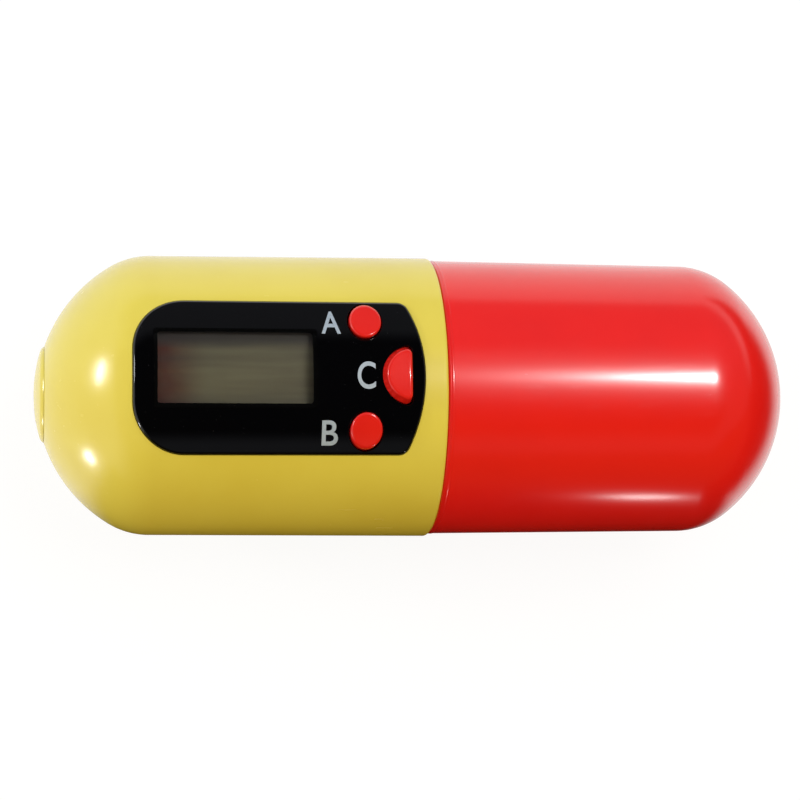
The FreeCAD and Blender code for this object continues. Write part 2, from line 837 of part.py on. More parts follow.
pieces = {
    "timer_shell": timer_shell(),
    "front_panel": front_panel(),
    "display_window": display_window(),
    "button_a": round_key(1),
    "button_b": round_key(-1),
    "button_c": half_key(),
    "key_dome_a": key_dome(key_x, stem_y),
    "key_dome_b": key_dome(key_x, -stem_y),
    "key_dome_c": key_dome(half_key_stem_x, 0),
    "lcd_display": lcd_display(),
    "zebra_strips": zebra_strips(),
    "circuit_board": circuit_board(),
    "board_screws": board_screws(),
    "controller_blob": controller_blob(),
    "timing_crystal": timing_crystal(),
    "buzzer_plate": buzzer_plate(),
    "buzzer_ceramic": buzzer_ceramic(),
    "buzzer_leads": buzzer_leads(),
    "battery_cell_outer": battery_cell(outer_cell_x),
    "battery_cell_inner": battery_cell(inner_cell_x),
    "battery_contact_negative": battery_contact_negative(),
    "battery_contact_positive": battery_contact_positive(),
    "battery_cap": battery_cap(),
    "neck_plug": neck_plug(),
    "neck_screws": neck_screws(),
    "pill_cup": pill_cup(),
}

# The capsule lies on the ground, centred on the origin
ground = Vector((timer_length + cap_proud - cup_length) / 2, 0, -rest_low)
os.makedirs("parts", exist_ok=True)
for name, shape in pieces.items():
    shape.translate(ground)
    shape.exportStep("parts/" + name + ".step")
    print(name, "solids", len(shape.Solids), "valid", shape.isValid(), "volume", round(shape.Volume, 2))
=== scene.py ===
"""Pill box with timer: a capsule made of a yellow timer half and a red pill cup.

Sizes in the classes are millimetres, measured from the shoulder where the halves meet, on the
capsule's axis: +X points to the cup's pole and +Z out of the panel. Finished meshes are in metres.
"""
from __future__ import annotations

import logging
import math
from collections.abc import Callable
from dataclasses import dataclass, replace
from enum import Enum
from functools import cached_property
from typing import Any, Iterable, Sequence, Union

import bmesh
import bpy
from bmesh.types import BMEdge, BMesh, BMFace, BMVert
from mathutils import Matrix, Vector


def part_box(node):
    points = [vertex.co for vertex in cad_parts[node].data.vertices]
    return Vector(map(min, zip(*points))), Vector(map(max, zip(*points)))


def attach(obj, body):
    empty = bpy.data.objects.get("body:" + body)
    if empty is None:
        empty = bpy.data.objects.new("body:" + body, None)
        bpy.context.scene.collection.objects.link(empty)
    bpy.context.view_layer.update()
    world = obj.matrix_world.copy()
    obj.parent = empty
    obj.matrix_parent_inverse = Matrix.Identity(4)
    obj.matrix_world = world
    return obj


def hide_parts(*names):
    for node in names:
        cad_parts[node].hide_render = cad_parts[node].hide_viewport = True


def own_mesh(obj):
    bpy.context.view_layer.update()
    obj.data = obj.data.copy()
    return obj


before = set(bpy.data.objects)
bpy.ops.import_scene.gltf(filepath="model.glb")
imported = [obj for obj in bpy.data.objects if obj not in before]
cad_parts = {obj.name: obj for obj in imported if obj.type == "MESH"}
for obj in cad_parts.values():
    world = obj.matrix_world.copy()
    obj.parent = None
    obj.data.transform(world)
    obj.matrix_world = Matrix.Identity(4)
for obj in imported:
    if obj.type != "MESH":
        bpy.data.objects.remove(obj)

LOG = logging.getLogger("pill_box")
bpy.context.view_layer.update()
MM = 0.001
SAME_PLACE = 1e-3
FULL_TURN = 2.0 * math.pi
QUARTER_TURN = 0.5 * math.pi
CUT_CLEAR = 1.0
RING_HEIGHT = 1.0
EVEN = (1.0, 1.0, 1.0)
Colour = tuple[float, float, float]
Place = tuple[float, float, float]
Pair = tuple[float, float]
Loop = list[BMEdge]


class Body(Enum):
    """The bodies of the frame that pieces ride on."""

    TIMER = "timer"
    CUP = "cup"
    CAP = "cap"
    KEY_A = "key_a"
    KEY_B = "key_b"
    KEY_C = "key_c"


class Grain(Enum):
    """Ways in which a metal surface was worked, by the stretch of its grain."""

    PLATED = EVEN
    BRUSHED = (0.06, 1.0, 1.0)


class Lit(Enum):
    """Which surfaces a lamp lights."""

    ALL = "all"
    MATTE = "matte"
    MIRRORED = "mirrored"


class Ray(Enum):
    """Kinds of ray that a shader tells apart."""

    CAMERA = "Is Camera Ray"
    GLOSSY = "Is Glossy Ray"
    TRANSMISSION = "Is Transmission Ray"


class Axis(Enum):
    """Directions in which a piece is sliced."""

    X = (1.0, 0.0, 0.0)
    Y = (0.0, 1.0, 0.0)


class Signal:
    """A shader socket that takes part in Python expressions."""

    def __init__(self, graph: Graph, socket: bpy.types.NodeSocket) -> None:
        """Keep the socket and the graph that it belongs to."""
        self.graph = graph
        self.socket = socket

    def _math(self, operation: str, first: Value, second: Value) -> Signal:
        """Add one Math node."""
        return self.graph.add("ShaderNodeMath", {"operation": operation}, {0: first, 1: second})

    def __add__(self, other: Value) -> Signal:
        """Sum."""
        return self._math("ADD", self, other)

    def __radd__(self, other: Value) -> Signal:
        """Sum with a number on the left."""
        return self._math("ADD", other, self)

    def __sub__(self, other: Value) -> Signal:
        """Difference."""
        return self._math("SUBTRACT", self, other)

    def __rsub__(self, other: Value) -> Signal:
        """Difference from a number on the left."""
        return self._math("SUBTRACT", other, self)

    def __mul__(self, other: Value) -> Signal:
        """Product."""
        return self._math("MULTIPLY", self, other)

    def __rmul__(self, other: Value) -> Signal:
        """Product with a number on the left."""
        return self._math("MULTIPLY", other, self)

    def __abs__(self) -> Signal:
        """Size without the sign."""
        return self._math("ABSOLUTE", self, 0.0)

    def output(self, name: str) -> Signal:
        """Another output of the same node."""
        return Signal(self.graph, self.socket.node.outputs[name])


Value = Union[Signal, float]


class Graph:
    """The node tree of one material or world."""

    def __init__(self, tree: bpy.types.NodeTree) -> None:
        """Start from an empty tree."""
        self.tree = tree
        self.tree.nodes.clear()

    def add(
        self,
        kind: str,
        settings: dict[str, Any] | None = None,
        inputs: dict[Any, Any] | None = None,
        output: Any = 0,
    ) -> Signal:
        """Add a node.

        Args:
            kind: The node's type.
            settings: Properties that are set first.
            inputs: Values or signals for its sockets, by name or number.
            output: The output that the returned signal stands for.

        Returns:
            The chosen output as a signal.
        """
        node = self.tree.nodes.new(kind)
        for name, value in (settings or {}).items():
            setattr(node, name, value)
        for key, value in (inputs or {}).items():
            socket = node.inputs[key]
            if isinstance(value, Signal):
                self.tree.links.new(value.socket, socket)
            else:
                socket.default_value = value
        outputs = node.outputs
        return Signal(self, outputs[output]) if len(outputs) else Signal(self, node.inputs[0])

    def place(self) -> Signal:
        """Object coordinates, in metres."""
        return self.add("ShaderNodeTexCoord", output="Object")

    def mapped(self, stretch: Place = EVEN, shift: Place = (0.0, 0.0, 0.0)) -> Signal:
        """Object coordinates moved by shift and then stretched.

        Args:
            stretch: Factor along each axis.
            shift: Point that becomes the pattern's origin, in metres.

        Returns:
            The vector as a signal.
        """
        moved = self.add("ShaderNodeVectorMath", {"operation": "SUBTRACT"}, {0: self.place(), 1: shift})
        return self.add("ShaderNodeMapping", None, {"Vector": moved, "Scale": stretch})

    def split(self, vector: Signal) -> Signal:
        """X of a vector, whose other outputs are Y and Z."""
        return self.add("ShaderNodeSeparateXYZ", None, {0: vector}, "X")

    def larger(self, first: Value, second: Value) -> Signal:
        """The larger of two values."""
        return self.add("ShaderNodeMath", {"operation": "MAXIMUM"}, {0: first, 1: second})

    def rays(self, kind: Ray) -> Signal:
        """1 for rays of a kind, and 0 for others."""
        return self.add("ShaderNodeLightPath", output=kind.value)

    def waves(self, **inputs: float) -> Signal:
        """Bands along X between 0 and 1, with the texture's sockets by name."""
        sockets = {"Vector": self.place(), **inputs}
        return self.add("ShaderNodeTexWave", {"bands_direction": "X"}, sockets, "Fac")

    def noise(self, size: float, detail: float, stretch: Place = EVEN) -> Signal:
        """Noise between 0 and 1 with features of a size.

        Args:
            size: Rough size of the features in millimetres.
            detail: Octaves of finer noise.
            stretch: Factor along each axis.

        Returns:
            The noise as a signal.
        """
        inputs = {"Vector": self.mapped(stretch), "Scale": 1.0 / (size * MM), "Detail": detail}
        return self.add("ShaderNodeTexNoise", None, inputs)

    def ramp(self, value: Signal, low: float, high: float) -> Signal:
        """Map a value from low..high to 0..1, clamped and smooth."""
        return self.add(
            "ShaderNodeMapRange",
            {"interpolation_type": "SMOOTHSTEP"},
            {"Value": value, "From Min": low, "From Max": high},
        )

    def mix(self, first: Any, second: Any, factor: Signal) -> Signal:
        """Blend two colours.

        Args:
            first: Colour where the factor is 0.
            second: Colour where the factor is 1.
            factor: The blend.

        Returns:
            The colour as a signal.
        """
        first_value = first if isinstance(first, Signal) else (*first, 1.0)
        second_value = second if isinstance(second, Signal) else (*second, 1.0)
        inputs = {0: factor, 6: first_value, 7: second_value}
        return self.add("ShaderNodeMix", {"data_type": "RGBA"}, inputs, 2)

    def bump(self, height: Signal, depth: float, strength: float) -> Signal:
        """Normal of a relief whose height runs from 0 to 1 over a depth in millimetres."""
        inputs = {"Height": height, "Distance": depth * MM, "Strength": strength}
        return self.add("ShaderNodeBump", None, inputs)

    def principled(self, **inputs: Any) -> Signal:
        """Principled shader, with underscores in the names of its sockets."""
        named = {name.replace("_", " "): value for name, value in inputs.items()}
        return self.add("ShaderNodeBsdfPrincipled", None, named)

    def surface(self, shader: Signal) -> None:
        """Link a shader to the material's output."""
        self.add("ShaderNodeOutputMaterial", None, {"Surface": shader})


@dataclass(frozen=True)
class Pattern:
    """Noise with features of a size in millimetres, and the span of it that becomes 0 to 1."""

    size: float
    detail: float
    span: Pair | None = None
    stretch: Place = EVEN

    def on(self, graph: Graph) -> Signal:
        """Add the pattern to a graph."""
        noise = graph.noise(self.size, self.detail, self.stretch)
        return graph.ramp(noise, *self.span) if self.span else noise


MATERIALS: dict[str, bpy.types.Material] = {}


@dataclass(frozen=True)
class Finish:
    """A surface finish that paints one material.

    A relief is given by its depth in millimetres and its strength.
    """

    name: str

    def paint(self, graph: Graph) -> None:
        """Fill the material's node tree."""
        raise NotImplementedError

    def material(self) -> bpy.types.Material:
        """The finish's material, made once."""
        if self.name not in MATERIALS:
            made = bpy.data.materials.new(self.name)
            made.use_nodes = True
            self.paint(Graph(made.node_tree))
            MATERIALS[self.name] = made
        return MATERIALS[self.name]


@dataclass(frozen=True)
class MouldedPlastic(Finish):
    """Gloss moulded plastic with faint clouds, orange peel and rubbing marks."""

    colour: Colour = (0.8, 0.8, 0.8)
    deep: Colour = (0.7, 0.7, 0.7)
    roughness: float = 0.16
    coat: float = 0.3
    relief: Pair = (0.004, 0.5)
    coat_roughness: float = 0.15
    clouds: Pattern = Pattern(14.0, 3.0)
    cloud_span: Pair = (0.35, 0.75)
    cloud_gloss: float = 0.05
    specks: Pattern = Pattern(0.55, 1.0, (0.68, 0.78))
    speck_share: float = 0.35
    rubs: Pattern = Pattern(1.1, 4.0, (0.55, 0.8), (0.25, 1.0, 1.0))
    rub_gloss: float = 0.05
    rub_coat: float = 0.15
    peel: Pattern = Pattern(1.6, 2.0)

    def paint(self, graph: Graph) -> None:
        """Clouded colour, uneven gloss and a shallow orange peel."""
        clouds = self.clouds.on(graph)
        specks = self.specks.on(graph)
        colour = graph.mix(self.colour, self.deep, graph.ramp(clouds, *self.cloud_span))
        rubs = self.rubs.on(graph)
        graph.surface(graph.principled(
            Base_Color=graph.mix(colour, self.deep, self.speck_share * specks),
            Roughness=self.roughness + self.cloud_gloss * clouds + self.rub_gloss * rubs,
            Coat_Weight=self.coat * (1.0 - self.rub_coat * rubs),
            Coat_Roughness=self.coat_roughness,
            IOR=1.5,
            Normal=graph.bump(self.peel.on(graph), *self.relief),
        ))


@dataclass(frozen=True)
class PianoBlack(Finish):
    """High-gloss black plastic with a little dust and hairline rubbing."""

    colour: Colour = (0.0010, 0.0010, 0.0013)
    dust: Colour = (0.06, 0.06, 0.065)
    roughness: float = 0.035
    grit: Pattern = Pattern(0.22, 1.0, (0.76, 0.8))
    grit_share: float = 0.35
    grit_gloss: float = 0.12
    hairs: Pattern = Pattern(0.35, 3.0, (0.62, 0.8), (0.12, 1.0, 1.0))
    hair_gloss: float = 0.05
    wave: Pattern = Pattern(7.0, 1.0)
    relief: Pair = (0.006, 0.4)

    def paint(self, graph: Graph) -> None:
        """Black base, sparse dust and hairlines in the gloss."""
        grit = self.grit.on(graph)
        hairs = self.hairs.on(graph)
        graph.surface(graph.principled(
            Base_Color=graph.mix(self.colour, self.dust, self.grit_share * grit),
            Roughness=self.roughness + self.hair_gloss * hairs + self.grit_gloss * grit,
            IOR=1.48,
            Normal=graph.bump(self.wave.on(graph), *self.relief),
        ))


@dataclass(frozen=True)
class ClearLens(Finish):
    """Clear polished window: it reflects by its Fresnel curve and lets the rest through."""

    tint: Colour = (0.93, 0.93, 0.91)
    body: Colour = (0.02, 0.02, 0.02)
    roughness: float = 0.04
    haze: Pattern = Pattern(2.5, 4.0, (0.5, 0.9))
    haze_gloss: float = 0.06
    least_gloss: float = 0.03
    fresnel_share: float = 0.9
    haze_share: float = 0.02

    def paint(self, graph: Graph) -> None:
        """Blend a gloss over a transparent body, with a breath of haze."""
        haze = self.haze.on(graph)
        fresnel = graph.add("ShaderNodeFresnel", None, {"IOR": 1.48})
        through = graph.add("ShaderNodeBsdfTransparent", None, {"Color": (*self.tint, 1.0)})
        gloss = graph.principled(
            Base_Color=(*self.body, 1.0),
            Roughness=self.roughness + self.haze_gloss * haze,
            Specular_IOR_Level=1.0,
            Metallic=0.0,
        )
        factor = self.least_gloss + self.fresnel_share * fresnel + self.haze_share * haze
        graph.surface(graph.add("ShaderNodeMixShader", None, {0: factor, 1: through, 2: gloss}))


@dataclass(frozen=True)
class DisplayFilm(Finish):
    """Blank reflective display: a satin polariser over a grey-green cell, with its plan place in metres."""

    ground: Colour = (0.350, 0.322, 0.186)
    # painted warm reflection at the display's left end
    warm_reflection: Colour = (0.185, 0.034, 0.010)
    # painted shade colour for the top of the display, also the dark tone of its patterns
    shade_and_pattern_tone: Colour = (0.080, 0.070, 0.072)
    middle: Pair = (-0.0272, 0.00085)
    half: Pair = (0.0103, 0.0048)
    reflection_span: Pair = (-1.05, -0.3)
    reflection_least: float = 0.55
    mottle: Pattern = Pattern(5.0, 3.0)
    top_shade_span: Pair = (0.55, 0.95)
    top_shade_share: float = 0.9
    column_scale: float = 900.0
    column_share: float = 0.06
    bands: Pattern = Pattern(1.6, 2.0, stretch=(0.08, 1.0, 1.0))
    band_share: float = 0.75
    grain: Pattern = Pattern(0.08, 2.0)
    grain_share: float = 0.12
    grain_gloss: float = 0.12
    relief: Pair = (0.003, 0.4)
    roughness: float = 0.32

    def paint(self, graph: Graph) -> None:
        """Grey-green cell with a painted warm reflection at its left end and painted shade along the top,
        with faint electrode columns.
        """
        centred = graph.mapped((1.0 / self.half[0], 1.0 / self.half[1], 0.0), (*self.middle, 0.0))
        across = graph.split(centred)
        upward = across.output("Y")
        # painted reflection: the warm tint rises towards the left end and is mottled
        painted_reflection = (1.0 - graph.ramp(across, *self.reflection_span)) * (self.reflection_least + self.mottle.on(graph))
        body = graph.mix(self.ground, self.warm_reflection, painted_reflection)
        # painted shade darkens the top of the display
        shaded = graph.mix(body, self.shade_and_pattern_tone, self.top_shade_share * graph.ramp(upward, *self.top_shade_span))
        columns = graph.waves(Scale=self.column_scale)
        grain = self.grain.on(graph)
        bands = self.bands.on(graph)
        pattern = self.column_share * columns + self.grain_share * grain + self.band_share * bands
        graph.surface(graph.principled(
            Base_Color=graph.mix(shaded, self.shade_and_pattern_tone, pattern),
            Specular_IOR_Level=0.2,
            Roughness=self.roughness + self.grain_gloss * grain,
            Normal=graph.bump(grain, *self.relief),
        ))


@dataclass(frozen=True)
class PrintInk(Finish):
    """Screen-printed ink with a slightly uneven film."""

    colour: Colour = (0.36, 0.43, 0.48)
    thin: Colour = (0.27, 0.33, 0.38)
    roughness: float = 0.35
    film: Pattern = Pattern(0.5, 3.0, (0.45, 0.8))
    mesh: Pattern = Pattern(0.09, 1.0)
    mesh_gloss: float = 0.2
    relief: Pair = (0.004, 0.5)

    def paint(self, graph: Graph) -> None:
        """Mottled ink over a fine screen texture."""
        mesh = self.mesh.on(graph)
        graph.surface(graph.principled(
            Base_Color=graph.mix(self.colour, self.thin, self.film.on(graph)),
            Roughness=self.roughness + self.mesh_gloss * mesh,
            Normal=graph.bump(mesh, *self.relief),
        ))


@dataclass(frozen=True)
class Metal(Finish):
    """Metal that is plated or brushed along X, with a little tarnish."""

    colour: Colour = (0.7, 0.7, 0.7)
    tarnish: Colour = (0.4, 0.38, 0.34)
    roughness: float = 0.25
    grain: Grain = Grain.PLATED
    lines: Pattern = Pattern(0.12, 3.0)
    line_gloss: float = 0.16
    relief: Pair = (0.004, 0.6)
    clouds: Pattern = Pattern(2.2, 4.0, (0.5, 0.85))
    cloud_share: float = 0.55
    cloud_gloss: float = 0.12

    def paint(self, graph: Graph) -> None:
        """Metal with tarnish clouds and its grain in gloss and relief."""
        lines = replace(self.lines, stretch=self.grain.value).on(graph)
        clouds = self.clouds.on(graph)
        graph.surface(graph.principled(
            Base_Color=graph.mix(self.colour, self.tarnish, self.cloud_share * clouds),
            Metallic=1.0,
            Roughness=self.roughness + self.line_gloss * lines + self.cloud_gloss * clouds,
            Normal=graph.bump(lines, *self.relief),
        ))


@dataclass(frozen=True)
class Rubber(Finish):
    """Matte moulded rubber with a dusty bloom."""

    colour: Colour = (0.25, 0.25, 0.26)
    bloom: Colour = (0.34, 0.34, 0.35)
    roughness: float = 0.62
    dust: Pattern = Pattern(1.4, 4.0, (0.4, 0.8))
    stipple: Pattern = Pattern(0.12, 1.0)
    stipple_gloss: float = 0.2
    relief: Pair = (0.01, 0.6)

    def paint(self, graph: Graph) -> None:
        """Dull colour with bloom and a fine stipple."""
        stipple = self.stipple.on(graph)
        graph.surface(graph.principled(
            Base_Color=graph.mix(self.colour, self.bloom, self.dust.on(graph)),
            Roughness=self.roughness + self.stipple_gloss * stipple,
            Normal=graph.bump(stipple, *self.relief),
        ))


@dataclass(frozen=True)
class BandedRubber(Finish):
    """Strip of fine conducting and insulating layers side by side."""

    dark: Colour = (0.012, 0.012, 0.013)
    pale: Colour = (0.42, 0.38, 0.36)
    roughness: float = 0.6
    bands_per_metre: float = 2600.0
    waviness: float = 0.2
    layer_span: Pair = (0.4, 0.6)
    relief: Pair = (0.01, 0.5)
    stipple: Pattern = Pattern(0.1, 2.0)
    stipple_gloss: float = 0.2

    def paint(self, graph: Graph) -> None:
        """Alternate dark and pale layers along X."""
        bands = graph.waves(Scale=self.bands_per_metre / FULL_TURN, Distortion=self.waviness)
        layers = graph.ramp(bands, *self.layer_span)
        graph.surface(graph.principled(
            Base_Color=graph.mix(self.dark, self.pale, layers),
            Roughness=self.roughness + self.stipple_gloss * self.stipple.on(graph),
            Normal=graph.bump(layers, *self.relief),
        ))


@dataclass(frozen=True)
class SolderMask(Finish):
    """Circuit board: glossy mask over raised copper tracks."""

    mask: Colour = (0.012, 0.11, 0.045)
    track: Colour = (0.03, 0.19, 0.07)
    roughness: float = 0.28
    cells_per_metre: float = 420.0
    cell_offset: float = 0.37
    cell_squash: float = 1.6
    squash_every: int = 3
    track_width: float = 0.03
    track_softness: float = 0.3
    relief: Pair = (0.02, 0.5)
    dirt: Pattern = Pattern(1.8, 3.0)
    dirt_gloss: float = 0.15

    def paint(self, graph: Graph) -> None:
        """Right-angled tracks as cell borders under the mask."""
        settings = {
            "offset": self.cell_offset,
            "squash": self.cell_squash,
            "squash_frequency": self.squash_every,
        }
        inputs = {
            "Vector": graph.place(),
            "Scale": self.cells_per_metre,
            "Mortar Size": self.track_width,
            "Mortar Smooth": self.track_softness,
        }
        cells = graph.add("ShaderNodeTexBrick", settings, inputs, "Fac")
        graph.surface(graph.principled(
            Base_Color=graph.mix(self.mask, self.track, cells),
            Roughness=self.roughness + self.dirt_gloss * self.dirt.on(graph),
            Normal=graph.bump(cells, *self.relief),
        ))


@dataclass(frozen=True)
class StageWhite(Finish):
    """Floor that is seen as white and keeps the shadow.

    It carries a painted shadow in front of the capsule and painted shade far to the right, which only
    reflections and bounce light see, set by distances in metres.
    """

    paper: Colour = (0.80, 0.80, 0.79)
    # painted shade colour of the floor, also the tone of its paper fibres
    shade_and_pattern_tone: Colour = (0.012, 0.008, 0.005)
    glow_share: float = 0.86
    glow: float = 1.06
    mirror_share: float = 0.68
    shade_half: float = 0.043
    shade_splay: float = 0.9
    shade_span: Pair = (0.004, 0.022)
    right_splay: float = 0.35
    right_span: Pair = (0.076, 0.116)
    matte_dark: float = 0.7
    mirror_dark: float = 0.3
    fibres: Pattern = Pattern(3.0, 4.0)
    fibre_share: float = 0.02

    def paint(self, graph: Graph) -> None:
        """Matte paper with a painted shadow in front and painted shade far to the right for reflections and
        bounce light, under plain white where the camera looks.
        """
        across = graph.split(graph.place())
        back = across.output("Y")
        beyond = graph.larger(abs(across) - self.shade_half, 0.0)
        # painted shadow of the capsule on the floor in front
        front_shadow = graph.ramp(0.0 - back - self.shade_splay * beyond, *self.shade_span)
        # painted shade on the floor far to the right
        right_dark = graph.ramp(across - self.right_splay * back, *self.right_span)
        camera = graph.rays(Ray.CAMERA)
        mirrored = graph.rays(Ray.GLOSSY)
        # painted shade, only where the camera doesn't look
        dark = graph.larger(front_shadow, right_dark) * (1.0 - camera)
        worn = self.fibre_share * self.fibres.on(graph)
        # painted shadow and shade, plus the paper's fibres
        shadow_and_fibres = (self.matte_dark + self.mirror_dark * mirrored) * dark + worn
        paper = graph.principled(
            Base_Color=graph.mix(self.paper, self.shade_and_pattern_tone, shadow_and_fibres),
            Roughness=0.9,
            Specular_IOR_Level=0.0,
        )
        # painted shade in the glow that gloss mirrors
        light = graph.mix((self.glow, self.glow, self.glow), self.shade_and_pattern_tone, dark)
        glow = graph.add("ShaderNodeEmission", None, {"Color": light, "Strength": 1.0})
        seen = self.glow_share * (camera + graph.rays(Ray.TRANSMISSION)) + self.mirror_share * mirrored
        graph.surface(graph.add("ShaderNodeMixShader", None, {0: seen, 1: paper, 2: glow}))


YELLOW = MouldedPlastic("yellow_plastic", (0.775, 0.645, 0.084), (0.745, 0.605, 0.070), 0.21, 0.35)
RED = MouldedPlastic("red_plastic", (0.84, 0.0090, 0.0060), (0.80, 0.007, 0.005), 0.20, 0.5)
KEY_RED = MouldedPlastic(
    "key_plastic", (0.77, 0.0155, 0.0095), (0.72, 0.012, 0.008), 0.13, 0.2, (0.003, 0.5)
)
PANEL_BLACK = PianoBlack("panel_black")
FRAME_GREY = Rubber("frame_grey", (0.20, 0.17, 0.125), (0.17, 0.14, 0.10))
WINDOW_CLEAR = ClearLens("window_clear")
DISPLAY_GREY = DisplayFilm("display_grey")
KEY_INK = PrintInk("key_ink")
DOME_RUBBER = Rubber("dome_rubber")
ZEBRA = BandedRubber("zebra_rubber")
BOARD_GREEN = SolderMask("board_green")
POTTING = Rubber("chip_potting", (0.010, 0.010, 0.011), (0.020, 0.020, 0.021))
LEAD_SLEEVE = Rubber("lead_sleeve", (0.45, 0.02, 0.02), (0.52, 0.05, 0.04))
CERAMIC = Rubber("sounder_ceramic", (0.62, 0.60, 0.55), (0.70, 0.68, 0.63))
SCREW_STEEL = Metal("screw_steel", (0.58, 0.58, 0.60), (0.34, 0.33, 0.32), 0.24)
CAN_BRIGHT = Metal("crystal_can", (0.78, 0.78, 0.80), (0.52, 0.52, 0.52), 0.14)
CELL_NICKEL = Metal("cell_nickel", (0.72, 0.71, 0.69), (0.50, 0.48, 0.44), 0.20, Grain.BRUSHED)
SPRING_STEEL = Metal("contact_steel", (0.64, 0.62, 0.56), (0.42, 0.38, 0.30), 0.28, Grain.BRUSHED)
BRASS = Metal("sounder_brass", (0.80, 0.58, 0.22), (0.50, 0.33, 0.12), 0.26, Grain.BRUSHED)

CAD_FINISHES: dict[str, Finish] = {
    "lcd_display": DISPLAY_GREY,
    "zebra_strips": ZEBRA,
    "circuit_board": BOARD_GREEN,
    "board_screws": SCREW_STEEL,
    "controller_blob": POTTING,
    "timing_crystal": CAN_BRIGHT,
    "buzzer_plate": BRASS,
    "buzzer_ceramic": CERAMIC,
    "buzzer_leads": LEAD_SLEEVE,
    "battery_cell_outer": CELL_NICKEL,
    "battery_cell_inner": CELL_NICKEL,
    "battery_contact_negative": SPRING_STEEL,
    "battery_contact_positive": SPRING_STEEL,
}


class Pen:
    """Draws an open line of edges in a bmesh, in a plane of constant Z."""

    def __init__(self, bm: BMesh, x: float, y: float, z: float = 0.0, side: int = 1) -> None:
        """Set the pen down.

        Args:
            bm: The mesh that is drawn in.
            x: First point along X, counted towards the side that the pen faces.
            y: First point along Y.
            z: Height of the plane.
            side: 1, or -1 to draw mirrored in X.
        """
        self.bm = bm
        self.side = side
        self.z = z
        self.start: BMVert = bm.verts.new((side * x, y, z))
        self.tip: BMVert = self.start

    def line(self, x: float, y: float, parts: int = 1) -> Pen:
        """Draw a straight line, in a number of equal parts, and return the pen."""
        begin = self.tip.co.copy()
        end = Vector((self.side * x, y, self.z))
        for part in range(1, parts + 1):
            grown = bmesh.ops.extrude_vert_indiv(self.bm, verts=[self.tip])
            self.tip = grown["verts"][0]
            self.tip.co = begin.lerp(end, part / parts)
        return self

    def arc(self, x: float, y: float, angle: float, steps: int) -> Pen:
        """Draw an arc about a centre and return the pen.

        Args:
            x: The centre along X, on the pen's side.
            y: The centre along Y.
            angle: Turn in radians, anticlockwise where the pen isn't mirrored.
            steps: Number of edges.

        Returns:
            The pen, for the next stroke.
        """
        spun = bmesh.ops.spin(
            self.bm,
            geom=[self.tip],
            cent=(self.side * x, y, self.z),
            axis=(0.0, 0.0, 1.0),
            angle=self.side * angle,
            steps=steps,
            use_duplicate=False,
        )
        self.tip = next(item for item in spun["geom_last"] if isinstance(item, BMVert))
        return self

    def close(self) -> Loop:
        """Join the tip to the start and return all edges of the loop."""
        if (self.tip.co - self.start.co).length < SAME_PLACE:
            bmesh.ops.pointmerge(self.bm, verts=[self.start, self.tip], merge_co=self.start.co)
        else:
            self.bm.edges.new((self.tip, self.start))
        loop = [self.start.link_edges[0]]
        corner = loop[0].other_vert(self.start)
        while corner != self.start:
            step = next(edge for edge in corner.link_edges if edge != loop[-1])
            loop.append(step)
            corner = step.other_vert(corner)
        return loop


